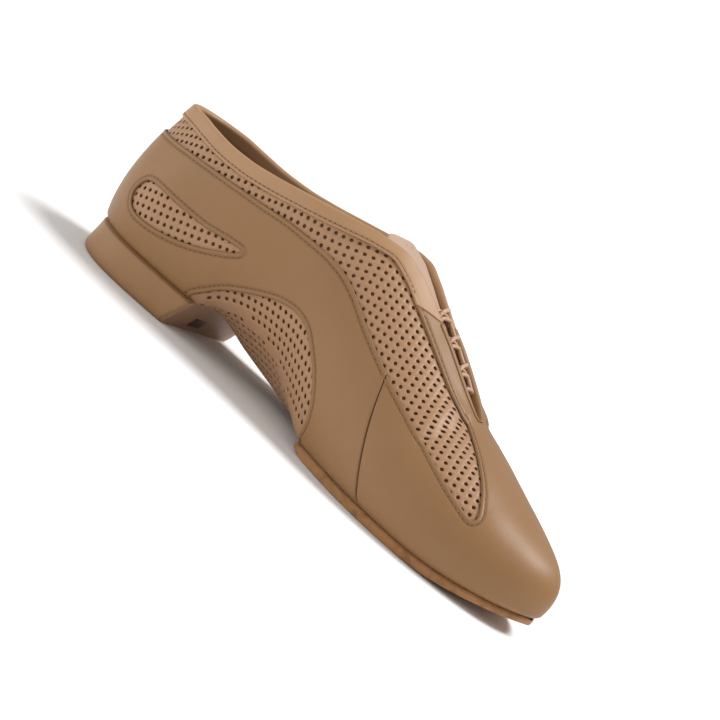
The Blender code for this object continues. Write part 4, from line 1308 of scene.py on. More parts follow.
def panel(name, loops, unflatten, stitched, cut, tall=OVERLAY_OUT, folded=()):
    """A leather panel on the last from flat outlines. The cut edges are rolled down to the skin,
    and a shallow groove runs where the edges in stitched are sewn."""
    flat, faces = fill_panel(loops)
    column, row = unflatten(flat)
    cut_gap = gap_to(flat, *cut)
    out = tall - edge_drop(np.clip(cut_gap / EDGE_ROUND, 0, 1))
    sewn = gap_to(flat, *edge_segments(*stitched))
    out = out - GROOVE * hump(sewn, STITCH_INSET, GROOVE_WIDTH)
    out = out + SWELL * hump(sewn, SWELL_INSET, SWELL_WIDTH)
    under = np.clip((row - SIDE_STEPS) / (TUCK_ROW - SIDE_STEPS), 0, 1)
    out = out * (1 - under) + UNDER_OUT * under
    if folded:
        fold = gap_to(flat, *edge_segments(*folded))
        rise = np.clip(1 - (fold / FOLD_WIDTH) ** 4, 0, 1) - 0.5 * hump(fold, FOLD_WIDTH + 0.3, 0.5)
        out = out + fold_rise(column) * rise
    thing = put_mesh(name, on_last(column, row, out), faces)
    # Painted shade: the leather is darkened along its cut edges and in the stitch groove.
    painted_shade = thing.data.attributes.new("edge", "FLOAT", "POINT")
    shade_share = 0.5 * np.exp(-cut_gap / 0.35) + 0.3 * hump(sewn, STITCH_INSET, 0.5)
    painted_shade.data.foreach_set("value", shade_share.astype(np.float32))
    close_seams(thing, 0.004 * MM, slivers=False)
    face_out(thing)
    thicken(thing, OVERLAY_WALL)
    thing.data.set_sharp_from_angle(angle=math.radians(50))
    thing.data.materials.append(smooth_leather)
    return thing


def line_of(flatten, columns, rows):
    """A line along the sheet as even points of a flat pattern."""
    return evenly(flatten(columns, rows), OUTLINE_PACE)


def rounded(line, reach, passes):
    """A line with its corners softened by averaging neighbours."""
    line = evenly(line, reach)
    for _ in range(passes):
        line[1:-1] = (line[:-2] + 2 * line[1:-1] + line[2:]) / 4
    return line


def seam_line(side, flatten, shift=0.0):
    """The slanting seam between quarter and vamp, from the strip down to the feather."""
    step = np.linspace(0, 1, 60)
    station = SEAM_AT_STRIP + (SEAM_AT_FEATHER - SEAM_AT_STRIP) * step + shift
    column = column_at(station, side)
    top = strip_rows(column)[1]
    return line_of(flatten, column, top + (TUCK_ROW - top) * step)


def arch_line(side, flatten):
    """The quarter's edge round the arch, from the waist's front back to the heel."""
    front, back = ARCH_CUT[-1][0] * LENGTH, ARCH_CUT[0][0] * LENGTH
    station = np.linspace(front, back, 90)
    column = column_at(station, side)
    row = row_at_height(column, arch_cut(station))
    column = np.concatenate([[column[0]] * 6, column, [column[-1]] * 3])
    rise, drop = np.linspace(TUCK_ROW, row[0] + 0.1, 6), np.linspace(row[-1] + 0.1, TUCK_ROW, 3)
    row = np.concatenate([rise, row, drop])
    return rounded(flatten(column, row), OUTLINE_PACE, 10)


def quarter_loops():
    """The quarter's outlines, its cut edges as straight pieces, and the edges that are sewn."""
    stations = np.linspace(SEAM_AT_STRIP, HEEL_PIVOT, 150)
    fan = np.arange(column_at(HEEL_PIVOT, 1) - 0.5, 0, -0.5)
    half = np.concatenate([column_at(stations, 1), fan])
    columns = np.concatenate([half, [0], -half[::-1]])
    top = line_of(to_wall, columns, strip_rows(columns)[1])
    seams = {side: seam_line(side, to_wall) for side in (1, -1)}
    arch_back, arch_front = ARCH_CUT[0][0] * LENGTH, ARCH_CUT[-1][0] * LENGTH
    fronts = column_at(np.linspace(SEAM_AT_FEATHER, arch_front, 60), 1)
    front = {side: line_of(to_wall, side * fronts, TUCK_ROW) for side in (1, -1)}
    arches = {side: arch_line(side, to_wall) for side in (1, -1)}
    back = np.arange(column_at(arch_back, -1), column_at(arch_back, 1), 0.5)
    heel = line_of(to_wall, back, TUCK_ROW)
    pieces = [top, seams[-1], front[-1], arches[-1], heel]
    pieces += [arches[1][::-1], front[1][::-1], seams[1][::-1]]
    outer = np.vstack([piece[:-1] for piece in pieces])
    windows = []
    for side in (1, -1):
        line = drop_window(side, 12)
        windows.append(evenly(np.vstack([line, line[:1]]), 1.0))
    cut = edge_segments(top, seams[-1], seams[1], arches[1], arches[-1], *windows)
    stitched = [top, arches[1], arches[-1]] + windows
    return [outer] + [window[:-1] for window in windows], cut, stitched


quarter_outlines, cut, quarter_sewn = quarter_loops()
quarter = panel("quarter_leather", quarter_outlines, from_wall, quarter_sewn, cut)
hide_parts("quarter")
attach(quarter, "root")

# Vamp: smooth leather of toe and forepart sides with the lower eyestays, cut open along both
# perforated strips, which end in round tips over the toes.
EYESTAY_SEAM_AT_STRIP = 0.558 * LENGTH
VAMP_OUT = OVERLAY_OUT - 0.12 * MM
LAP = 0.2 * MM
TIP_WIDTH = 8.4
LEAST_STEP = 0.35


def strip_outline(side, flatten):
    """Upper and lower edge of a strip ahead of its seams, and the round tip between them."""
    stations = np.linspace(EYESTAY_SEAM_AT_STRIP, STRIP_TIP, 200)
    columns = column_at(stations, side)
    upper_row, lower_row = strip_rows(columns)
    upper, lower = flatten(columns, upper_row), flatten(columns, lower_row)
    width = np.linalg.norm(upper - lower, axis=1)
    last = np.nonzero(width > TIP_WIDTH)[0][-1]
    upper, lower = upper[: last + 1], lower[(stations >= SEAM_AT_STRIP) & (np.arange(200) <= last)]
    ahead = [line[-1] - line[-6] for line in (upper, lower)]
    ahead = [step / np.linalg.norm(step) * TIP_WIDTH * 0.85 for step in ahead]
    tip = bezier(upper[-1], upper[-1] + ahead[0], lower[-1] + ahead[1], lower[-1], 12)
    return evenly(np.vstack([upper, tip[1:-1], lower[::-1]]), 1.0)


def vamp_loops():
    """The vamp's outline, its cut edges, the edges that are sewn and those that are folded."""
    slits, seams, strips, laps = {}, {}, {}, {}
    for side in (1, -1):
        stations = np.linspace(EYESTAY_SEAM_AT_SLIT, THROAT_END, 90)
        slits[side] = line_of(to_top, column_at(stations, side), 0.0)
        step = np.linspace(0, 1, 20)
        place = EYESTAY_SEAM_AT_SLIT + (EYESTAY_SEAM_AT_STRIP - EYESTAY_SEAM_AT_SLIT) * step
        columns = column_at(place, side)
        seams[side] = line_of(to_top, columns, strip_rows(columns)[0] * step)
        strips[side] = strip_outline(side, to_top)
        laps[side] = seam_line(side, to_top, LAP)
    columns = np.arange(column_at(SEAM_AT_FEATHER + LAP, 1), LAST_COLUMN, 0.5)
    columns = np.concatenate([columns, [LAST_COLUMN]])
    medial, lateral = to_top(-columns, TUCK_ROW), to_top(columns, TUCK_ROW)
    toe = evenly(np.vstack([medial, lateral[::-1][1:]]), OUTLINE_PACE)
    pieces = [
        slits[1], slits[-1][::-1], seams[-1], strips[-1], laps[-1], toe,
        laps[1][::-1], strips[1][::-1], seams[1][::-1],
    ]
    outer = [pieces[0][0]]
    for piece in pieces:
        for point in piece:
            if np.linalg.norm(point - outer[-1]) > LEAST_STEP:
                outer.append(point)
    outer = np.array(outer)
    if np.linalg.norm(outer[0] - outer[-1]) < LEAST_STEP:
        outer = outer[:-1]
    cut = edge_segments(*(lines[side] for lines in (slits, seams, strips, laps) for side in (1, -1)))
    return [outer], cut, [strips[1], strips[-1]], [slits[1], slits[-1]]


vamp_outlines, cut, vamp_sewn, vamp_folded = vamp_loops()
vamp = panel("vamp_leather", vamp_outlines, from_top, vamp_sewn, cut, VAMP_OUT, vamp_folded)
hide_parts("vamp")
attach(vamp, "root")

# Collar: a band of smooth leather folded over the top line and down inside, stitched along its
# lower edge, which runs on as the upper eyestays to a slanting seam on either side.
HEM = 5.0 * MM
BAND_OUT = 1.5 * MM
BAND_IN = -1.95 * MM
BAND_WALL = 0.4 * MM
BAND_STITCH = 1.35


def top_line(marks):
    """The wall's rim at columns: its points, the way up and the way out."""
    top = read_sheet(SHEET, marks, np.zeros(len(marks)))
    below = read_sheet(SHEET, marks, np.ones(len(marks)))
    up = (top - below) / np.linalg.norm(top - below, axis=1, keepdims=True)
    return top, up, read_sheet(NORMALS, marks, np.zeros(len(marks)))


def over_rim(marks, tall, rise, angles, settle=0.0):
    """Lines over the wall's rim, from its outer face to its inner one."""
    top, up, normal = top_line(marks)
    middle, radius = (tall + BAND_IN) / 2, (tall - BAND_IN) / 2
    lines = []
    for angle in np.radians(angles):
        out = middle + radius * math.cos(angle) - settle * math.cos(angle)
        raised = np.broadcast_to(rise * math.sin(angle), marks.shape)
        lines.append(top + up * raised[:, None] + normal * out[:, None] + OFFSET)
    return lines


def collar_places():
    """The band from its lower edge up, over the rim and down inside, at columns round the top."""
    end = column_at(EYESTAY_SEAM_AT_SLIT, 1) + 0.2
    half = np.concatenate([np.arange(0, end - 1.2, 0.75), end - np.array([0.9, 0.5, 0.25, 0.1, 0])])
    marks = np.concatenate([-half[::-1][:-1], half])
    fade = (station_at(marks) - THROAT_TOP) / (EYESTAY_SEAM_AT_SLIT - THROAT_TOP)
    slant = column_at(EYESTAY_SEAM_AT_STRIP, 1) - column_at(EYESTAY_SEAM_AT_SLIT, 1)
    slant = slant * np.clip(fade, 0, 1)
    settle = edge_drop(np.clip((end - np.abs(marks)) / EDGE_ROUND, 0, 1))
    lines = []
    for share in (1.0, 0.975, 0.94, 0.87, 0.79, 0.73, 0.66, 0.55, 0.42, 0.3, 0.18, 0.08, 0.0):
        column = marks + np.sign(marks) * slant * share
        girth = read_girth(column, strip_rows(column)[0])
        gap = girth * (1 - share) / MM
        out = BAND_OUT - edge_drop(np.clip(gap / EDGE_ROUND, 0, 1)) - settle
        out = out - 0.14 * MM * hump(gap, BAND_STITCH, 0.4)
        lines.append(on_last(column, row_at_girth(column, girth * share), out))
    lines += over_rim(marks, BAND_OUT, 1.3 * MM, (15, 35, 55, 75, 90, 105, 125, 145, 165), settle)
    for share in (0.0, 0.15, 0.35, 0.6, 0.85, 1.0):
        out = BAND_IN + (0.25 * MM if share == 1.0 else 0)
        lines.append(on_last(marks, row_at_girth(marks, HEM * share), out))
    return np.array(lines).transpose(1, 0, 2)


def throat_fold_places():
    """The eyestays' turned edge, from the lateral seam round the throat's end to the medial one."""
    near = column_at(EYESTAY_SEAM_AT_SLIT, 1) + 0.3
    far = column_at(THROAT_END - 0.15 * MM, 1)
    first = [near, near + 0.2, near + 0.5]
    grids = []
    for side in (1, -1):
        marks = side * np.concatenate([first, np.arange(near + 1, far, 0.8), [far]])
        rise = np.minimum(1.2 * MM, slit_half(station_at(marks), side) * 0.8)
        ends = np.clip(np.abs(marks - marks[0]) / 0.5, 0, 1)
        tall = VAMP_OUT + fold_rise(marks) - edge_drop(ends)
        lines = []
        for girth, sink in ((1.3, 0.12), (0.8, 0.0), (0.35, -0.03)):
            lines.append(on_last(marks, row_at_girth(marks, girth * MM), tall - sink * MM))
        lines += over_rim(marks, tall, rise, (12, 35, 60, 90, 120, 145, 168))
        for girth, out in ((1.2 * MM, BAND_IN), (2.4 * MM, BAND_IN + 0.3 * MM)):
            lines.append(on_last(marks, row_at_girth(marks, girth), out))
        grid = np.array(lines).transpose(1, 0, 2)
        grids.append(grid if side > 0 else grid[::-1])
    return np.concatenate(grids)


throat_fold = laid_grid("throat_fold", throat_fold_places())
face_out(throat_fold)
thicken(throat_fold, BAND_WALL)
throat_fold.data.materials.append(smooth_leather)
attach(throat_fold, "root")

collar = laid_grid("collar_band", collar_places())
face_out(collar)
thicken(collar, BAND_WALL)
collar.data.materials.append(
    leather("collar leather", (0.33, 0.182, 0.088), (0.37, 0.208, 0.104), (0.16, 0.078, 0.032), 1.0)
)
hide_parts("collar")
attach(collar, "root")

# Stitching: polyester thread in the leather's own colour, one row along each sewn edge, every
# stitch pulled down at both ends into its needle holes, which are dark discs of painted shade.
THREAD_RADIUS = 0.17 * MM
NEEDLE_RADIUS = 0.44 * MM
thread = leather("thread", (0.225, 0.115, 0.045), (0.25, 0.13, 0.055), (0.12, 0.055, 0.02), 0.5)
STITCH_SHAPE = (
    # share of the stitch, rise in mm
    (0.10, -0.10),
    (0.22, 0.10),
    (0.50, 0.17),
    (0.78, 0.10),
    (0.90, -0.10),
)
# Painted shade: each needle hole is a flat dark disc standing in for the hole's depth.
needle_hole_shade = leather(
    "needle hole", (0.085, 0.042, 0.022), (0.10, 0.05, 0.026), (0.05, 0.025, 0.012), 0.5
)


def sewing_line(line, outlines):
    """The row of needle holes beside an edge, on the side where the outlines' leather is."""
    for sign in (1, -1):
        moved = offset_line(line, sign * STITCH_INSET, False)
        if within(moved, *closed_edges(outlines)).mean() > 0.5:
            break
    clear = gap_to(moved, *edge_segments(line)) > STITCH_INSET * 0.9
    return evenly(moved[clear], STITCH_PITCH)


def sew(name, rows):
    """Threads, and needle holes as dark discs of painted shade, along rows of places given as (low, high)
    pairs of points.
    """
    curve = bpy.data.curves.new(name, "CURVE")
    curve.dimensions = "3D"
    curve.bevel_depth = THREAD_RADIUS
    curve.bevel_resolution = 1
    curve.use_fill_caps = True
    form = bmesh.new()
    for low, high in rows:
        up = (high - low) / np.linalg.norm(high - low, axis=1, keepdims=True)
        for k in range(len(low)):
            turned = Vector(up[k]).to_track_quat("Z", "Y").to_matrix().to_4x4()
            disc = Matrix.Translation(Vector(low[k] + up[k] * 0.09 * MM)) @ turned
            bmesh.ops.create_circle(form, cap_ends=True, radius=NEEDLE_RADIUS, segments=8, matrix=disc)
        for k in range(len(low) - 1):
            a, b = low[k], low[k + 1]
            if np.linalg.norm(b - a) > 1.8 * STITCH_PITCH * MM:
                continue
            stitch = curve.splines.new("POLY")
            stitch.points.add(len(STITCH_SHAPE) - 1)
            for point, (share, rise) in zip(stitch.points, STITCH_SHAPE):
                point.co = (*(a + (b - a) * share + up[k] * rise * MM), 1)
                point.radius = 0.6 if rise < 0 else 1.0
    holes = bpy.data.meshes.new(name)
    form.to_mesh(holes)
    form.free()
    holes.materials.append(needle_hole_shade)
    holed = bpy.data.objects.new(name, holes)
    bpy.context.scene.collection.objects.link(holed)
    if curve.splines:
        curve.materials.append(thread)
        threads = bpy.data.objects.new(name + "_thread", curve)
        bpy.context.scene.collection.objects.link(threads)
        bpy.ops.object.select_all(action="DESELECT")
        bpy.context.view_layer.objects.active = threads
        threads.select_set(True)
        bpy.ops.object.convert(target="MESH")
        holed.select_set(True)
        bpy.context.view_layer.objects.active = holed
        bpy.ops.object.join()
        holed.select_set(False)
    holed.data.shade_smooth()
    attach(holed, "root")


def sew_panel(name, outlines, edges, unflatten, tall):
    """A row of stitches in the groove beside each of a panel's sewn edges."""
    rows = []
    for line in edges:
        column, row = unflatten(sewing_line(line, outlines))
        low, high = (on_last(column, row, tall + rise) for rise in (-GROOVE - 0.04 * MM, MM))
        rows.append((low, high))
    sew(name, rows)


sew_panel("quarter_stitching", quarter_outlines, quarter_sewn, from_wall, OVERLAY_OUT)
sew_panel("vamp_stitching", vamp_outlines, vamp_sewn, from_top, VAMP_OUT)

band_columns = np.arange(0, column_at(EYESTAY_SEAM_AT_STRIP, 1) - 2, 1.0)
rows = []
for side in (1, -1):
    columns = side * band_columns
    girth = read_girth(columns, strip_rows(columns)[0]) / MM - BAND_STITCH
    columns, girth = evenly(np.stack([columns, girth], axis=1), 1.0).T
    row = row_at_girth(columns, girth * MM)
    low, high = (on_last(columns, row, BAND_OUT + rise) for rise in (-0.18 * MM, MM))
    both = evenly(np.hstack([low, high]), STITCH_PITCH * 1.4 * MM)
    rows.append((both[:, :3], both[:, 3:]))
sew("collar_stitching", rows)

# Tongue: a soft strip of pale leather over thin wadding, caught under the vamp at its foot, with a
# free tab that stands out of the throat and two needle holes for its keeper, drawn as dark discs of
# painted shade.
TONGUE_TOP = THROAT_TOP - 9 * MM
TONGUE_FOOT = THROAT_END + 6.8 * MM
TONGUE_CORNER = 9 * MM
TONGUE_WIDTH = 34 * MM
TONGUE_THICKNESS = 1.8 * MM
tongue_leather = leather(
    "tongue leather", (0.41, 0.27, 0.195), (0.45, 0.305, 0.225), (0.27, 0.155, 0.10), 0.8
)


def instep_line(station):
    """Places across and heights of the closed instep over the throat at a station."""
    line = []
    for side in (1, -1):
        rows = np.linspace(0, SIDE_STEPS * 0.6, 30)
        line.extend(read_sheet(SHEET, np.full(30, column_at(station, side)), rows))
    if station < THROAT_END:
        angle = math.radians(crown(station))
        peak = np.array([station, centre(station), ridge_height(station)])
        for side in (1, -1):
            top = read_sheet(SHEET, column_at(station, side), np.float64(0))
            pull = abs(top[1] - peak[1]) / 2.4
            inner = np.array([0, -side * math.cos(angle), math.sin(angle)])
            line.extend(bezier(top, top + inner * pull, peak + (0, side * pull, 0), peak, 10)[1:])
    line = np.array(sorted(line, key=lambda p: p[1]))
    return line[:, 1], line[:, 2]


instep_lines = {}


def under_instep(station, y, depth):
    """Height of a surface that lies a depth inside the closed instep."""
    for place in (station, station + MM):
        if place not in instep_lines:
            instep_lines[place] = instep_line(place)
    across, heights = instep_lines[station]
    height, left, right = (float(np.interp(y + step, across, heights)) for step in (0, -MM, MM))
    ahead = float(np.interp(y, *instep_lines[station + MM]))
    return height - depth * math.hypot(1, (right - left) / 2 / MM, (ahead - height) / MM)


def tongue_places():
    """The strip's upper and lower face, thinned to a round edge at its sides and top."""
    widths = np.sin(np.linspace(-math.pi / 2, math.pi / 2, 31))
    turn = np.linspace(0, math.pi / 2, 12)
    stations = np.concatenate(
        [
            TONGUE_TOP + TONGUE_CORNER * (1 - np.cos(turn)),
            np.linspace(TONGUE_TOP + TONGUE_CORNER, TONGUE_FOOT, 44)[1:],
        ]
    )
    upper, lower = [], []
    for station in stations:
        into = min(1, (station - TONGUE_TOP) / TONGUE_CORNER)
        half = TONGUE_WIDTH / 2 - TONGUE_CORNER * 0.8 * (1 - math.sqrt(1 - (1 - into) ** 2))
        half = half * (1 - 0.12 * (station - TONGUE_TOP) / (TONGUE_FOOT - TONGUE_TOP))
        rim = min(1, (station - TONGUE_TOP) / (1.2 * MM))
        top, bottom = [], []
        for width in widths:
            y = centre(station) + half * width
            edge = min(1, (1 - abs(width)) * half / (1.2 * MM), rim)
            full = math.sqrt(max(0, 1 - (1 - edge) ** 2))
            middle = WALL + 2 * GAP + TONGUE_THICKNESS / 2
            half_thick = TONGUE_THICKNESS / 2 * (0.25 + 0.75 * full)
            top.append((station, y, under_instep(station, y, middle - half_thick)))
            bottom.append((station, y, under_instep(station, y, middle + half_thick)))
        upper.append(top)
        lower.append(bottom)
    return np.array(upper), np.array(lower)


upper_face, lower_face = tongue_places()
loop_places = np.concatenate([upper_face, lower_face[:, ::-1], upper_face[:, :1]], axis=1) + OFFSET
tongue = laid_grid("tongue_leather", loop_places)
close_seams(tongue, 0.01 * MM, slivers=False, ends=True, split=True)
tongue.data.set_sharp_from_angle(angle=math.radians(60))
tongue.data.materials.append(tongue_leather)
keeper = []
for aside in (-2.6 * MM, 2.6 * MM):
    spot = (TONGUE_TOP + 4.5 * MM, centre(TONGUE_TOP) + aside)
    low, high = (under_instep(*spot, WALL + 2 * GAP - rise * MM) for rise in (-0.02, 1))
    keeper.append(((*spot, low), (*spot, high)))
sew("tongue_keeper_holes", [tuple(np.array([pair[k] + OFFSET for pair in keeper]) for k in (0, 1))])
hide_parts("tongue")
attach(tongue, "root")

# Insole: a sock of dark cloth on thin board, laid on the turned-in margin from heel to toe.
INSOLE_THICKNESS = 1.6 * MM
INSOLE_INSET = 3.6 * MM
ARCH_START = 0.258 * LENGTH
ARCH_END = 0.571 * LENGTH
sock_cloth = leather("sock cloth", (0.085, 0.043, 0.027), (0.10, 0.052, 0.033), (0.05, 0.025, 0.016), 2.2)


def grown_outline(distance):
    """The feather line moved outwards."""
    ahead = np.roll(FEATHER, -1, axis=0) - np.roll(FEATHER, 1, axis=0)
    normal = np.stack([-ahead[:, 1], ahead[:, 0]], axis=1)
    return FEATHER + normal / np.linalg.norm(normal, axis=1, keepdims=True) * distance


def floor_line(station):
    """Places across and heights of the upper's under side at a station."""
    if ARCH_FROM <= station < ARCH_TO - MM:
        at = (station - ARCH_FROM) / MM
        rows = np.arange(54.0, WAIST_SHEET.shape[1] - 54)
        line = read_open(WAIST_SHEET, np.full(len(rows), at), rows)
    else:
        rows = np.arange(54.0, 57.0)
        lateral = read_sheet(SHEET, np.full(3, column_at(station, 1)), rows)
        line = np.vstack([lateral, read_sheet(SHEET, np.full(3, column_at(station, -1)), rows)])
    line = line[line[:, 1].argsort()]
    return line[:, 1], line[:, 2]


def insole_height(station, y):
    """Height of the sock board's under side: flat at heel and forepart, over the waist between."""
    if not ARCH_START < station < ARCH_END + 5.6 * MM:
        seat = HEEL_HEIGHT + (SOLE_THICKNESS - HEEL_HEIGHT) * fall(station) + GAP
        return seat + spring(station) + WALL + GAP
    across, heights = floor_line(station)
    height = float(np.interp(y, across, heights))
    slope = max(abs(float(np.interp(y + step, across, heights)) - height) for step in (-MM, MM)) / MM
    ahead = float(np.interp(y, *floor_line(station + MM)))
    return height + (WALL + 3 * GAP) * math.hypot(1, slope, (ahead - height) / MM)


def insole_places():
    """The board's under side, in rows across from the back to the tip."""
    outline = grown_outline(-INSOLE_INSET)
    back, tip = outline[outline[:, 0].argmin()], outline[outline[:, 0].argmax()]
    turn = np.linspace(0, math.pi / 2, 16)
    stations = np.concatenate(
        [
            back[0] + (ARCH_START - back[0]) * (1 - np.cos(turn)),
            np.arange(ARCH_START, ARCH_END, 2.5 * MM)[1:],
            ARCH_END + (tip[0] - ARCH_END) * np.sin(turn),
        ]
    )
    rows = []
    for station in stations:
        at_end = station < back[0] + 1e-6 or station > tip[0] - 1e-6
        row = []
        for width in np.linspace(-1, 1, 15):
            side = 1 if width > 0 else -1
            y = centre(station) + side * half_width(outline, station, side) * abs(width)
            if at_end:
                y = back[1] if station < HEEL_PIVOT else tip[1]
            row.append((station, y, insole_height(station, y)))
        rows.append(row)
    return np.array(rows) + OFFSET


insole = laid_grid("insole_sock", insole_places())
close_seams(insole)
if insole.data.polygons[len(insole.data.polygons) // 2].normal.z > 0:
    insole.data.flip_normals()
thicken(insole, INSOLE_THICKNESS)
insole.data.set_sharp_from_angle(angle=math.radians(60))
insole.data.materials.append(sock_cloth)
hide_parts("insole")
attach(insole, "root")

# Heel: a low block covered in the same smooth leather, glued under the quarter with its edges
# rounded under; the breast is covered in a paler leather, with a small dark patch on it.
HEEL_BOTTOM_LENGTH = 60.5 * MM
HEEL_TOP_LENGTH = 66 * MM
HEEL_LIP = 1.4 * MM
HEEL_FLARE = 1 * MM
HEEL_ROUNDING = 2.2 * MM
BREAST_ROUND = 2.4 * MM
heel_leather = leather(
    "heel leather", (0.275, 0.143, 0.056), (0.315, 0.169, 0.075), (0.13, 0.058, 0.020), 1.0, edge=True
)
breast_leather = leather(
    "breast leather", (0.34, 0.20, 0.125), (0.375, 0.225, 0.14), (0.20, 0.105, 0.055), 0.9
)


def heel_ring(grow, length):
    """One level of the block, run round from the lateral breast corner by the back."""
    turn = np.linspace(0, math.pi / 2, 34)
    side_stations = np.linspace(HEEL_PIVOT, length - BREAST_ROUND, 22)[1:]
    stations = np.concatenate([HEEL_PIVOT * (1 - np.cos(turn)), side_stations])
    ring = []
    for side, order in ((1, stations[::-1]), (-1, stations[1:])):
        for station in order:
            if station < HEEL_PIVOT:
                angle = math.acos((HEEL_PIVOT - station) / HEEL_PIVOT)
                way = (-math.cos(angle), side * math.sin(angle))
                out = reach(FEATHER, (HEEL_PIVOT, 0.0), way) + grow
                ring.append((HEEL_PIVOT + way[0] * out, way[1] * out))
            else:
                out = half_width(FEATHER, station, side) + grow
                ring.append((station, centre(station) + side * out))
    a, b = np.array(ring[-1]), np.array(ring[0])
    ahead, across = np.array([BREAST_ROUND, 0]), np.array([0, BREAST_ROUND])
    first = bezier(a, a + ahead * 0.55, a + ahead + across * 0.45, a + ahead + across, 5)
    last = bezier(b + ahead - across, b + ahead - across * 0.45, b + ahead * 0.55, b, 5)
    breast = np.linspace(first[-1], last[0], 20)
    return np.vstack([ring, first[1:], breast[1:-1], last[:-1]])


def heel_places():
    """The block's skin, ring by ring from the floor up, over its rim and in under the quarter."""
    top_grow, full = HEEL_LIP, HEEL_LIP + HEEL_FLARE
    levels = [
        # height, grow, share from bottom length to top length
        (0.0, full - HEEL_ROUNDING * 0.62, 0.0),
        (HEEL_ROUNDING * 0.06, full - HEEL_ROUNDING * 0.42, 0.01),
        (HEEL_ROUNDING * 0.25, full - HEEL_ROUNDING * 0.2, 0.03),
        (HEEL_ROUNDING * 0.6, full - HEEL_ROUNDING * 0.05, 0.08),
        (HEEL_ROUNDING * 0.95, full, 0.14),
        (HEEL_HEIGHT * 0.3, full - HEEL_FLARE * 0.16, 0.28),
        (HEEL_HEIGHT * 0.45, full - HEEL_FLARE * 0.42, 0.44),
        (HEEL_HEIGHT * 0.6, full - HEEL_FLARE * 0.66, 0.6),
        (HEEL_HEIGHT * 0.75, full - HEEL_FLARE * 0.86, 0.76),
        (HEEL_HEIGHT - 1.0 * MM, top_grow, 0.93),
        (HEEL_HEIGHT - 0.45 * MM, top_grow - 0.06 * MM, 0.97),
        (HEEL_HEIGHT - 0.12 * MM, top_grow - 0.28 * MM, 0.99),
        (HEEL_HEIGHT + 0.15 * MM, top_grow - 0.6 * MM, 1.0),
        (HEEL_HEIGHT + 0.6 * MM, top_grow - 1.2 * MM, 1.0),
        (HEEL_HEIGHT + 0.9 * MM, top_grow - 1.9 * MM, 1.0),
        (HEEL_HEIGHT, top_grow - 3.4 * MM, 0.98),
        (HEEL_HEIGHT, top_grow - 7 * MM, 0.97),
    ]
    rings = []
    for height, grow, share in levels:
        flat = heel_ring(grow, HEEL_BOTTOM_LENGTH + (HEEL_TOP_LENGTH - HEEL_BOTTOM_LENGTH) * share)
        ring = np.hstack([flat, np.full((len(flat), 1), height)])
        rings.append(np.vstack([ring, ring[:1]]))
    return np.array(rings).transpose(1, 0, 2) + OFFSET


heel = laid_grid("heel_block", heel_places())
close_seams(heel, 0.01 * MM, slivers=False, ends=True)
heel.data.set_sharp_from_angle(angle=math.radians(42))
heel.data.materials.append(heel_leather)
heel.data.materials.append(breast_leather)
for face in heel.data.polygons:
    face.material_index = int(face.normal.x > 0.75 and abs(face.normal.z) < 0.7)
# Painted shade: darker bands along the block's top rim under the quarter and along its foot on the floor.
painted_shade = heel.data.attributes.new("edge", "FLOAT", "POINT")
heights = np.array([v.co.z for v in heel.data.vertices])
shade_share = 0.5 * hump(heights, HEEL_HEIGHT, 0.7 * MM) + 0.3 * hump(heights, 0, 1.1 * MM)
painted_shade.data.foreach_set("value", shade_share.astype(np.float32))
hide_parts("heel")
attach(heel, "root")

PATCH_THICK = 0.35 * MM
PATCH_ACROSS = 9 * MM
PATCH_TALL = 5 * MM
PATCH_PLACE = Vector((0.05 * MM, -4 * MM, 4.8 * MM))
bpy.ops.mesh.primitive_cube_add(size=1)
patch = bpy.context.object
patch.name = "breast_patch"
slope = HEEL_TOP_LENGTH - HEEL_BOTTOM_LENGTH
patch.data.transform(Matrix.Diagonal((PATCH_THICK, PATCH_ACROSS, PATCH_TALL, 1)))
patch.data.transform(Matrix.Rotation(math.atan2(slope, HEEL_HEIGHT), 4, "Y"))
breast = Vector((HEEL_BOTTOM_LENGTH + 0.36 * slope, 0, 0))
patch.data.transform(Matrix.Translation(breast + PATCH_PLACE + Vector(OFFSET)))
soften = patch.modifiers.new("soften", "BEVEL")
soften.width = 0.14 * MM
soften.segments = 2
apply_modifiers(patch)
patch.data.shade_smooth()
patch.data.materials.append(
    leather("dark patch", (0.095, 0.045, 0.026), (0.11, 0.053, 0.031), (0.05, 0.023, 0.013), 0.8)
)
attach(patch, "root")

# Outsole: thin suede under the forepart alone, glued on, its edge left raw and a little fluffy,
# thinned away at the rear where the arch begins.
SOLE_REAR = 0.571 * LENGTH
SOLE_LIP = 0.6 * MM
SOLE_REAR_BULGE = 5 * MM
SOLE_REAR_THIN = 1.4 * MM
SOLE_REAR_TAPER = 9 * MM
SOLE_RIDGE = 0.7 * MM
SOLE_TIP_THIN = 1.2 * MM
SOLE_TIP_FROM = 0.86 * LENGTH
SOLE_TIP_RUN = 0.12 * LENGTH
SOLE_EDGE = (
    # inset in mm, share of the thickness
    (0.50, 0.00),
    (0.22, 0.05),
    (0.06, 0.18),
    (0.00, 0.40),
    (0.00, 0.70),
    (0.06, 0.90),
    (0.25, 1.00),
)


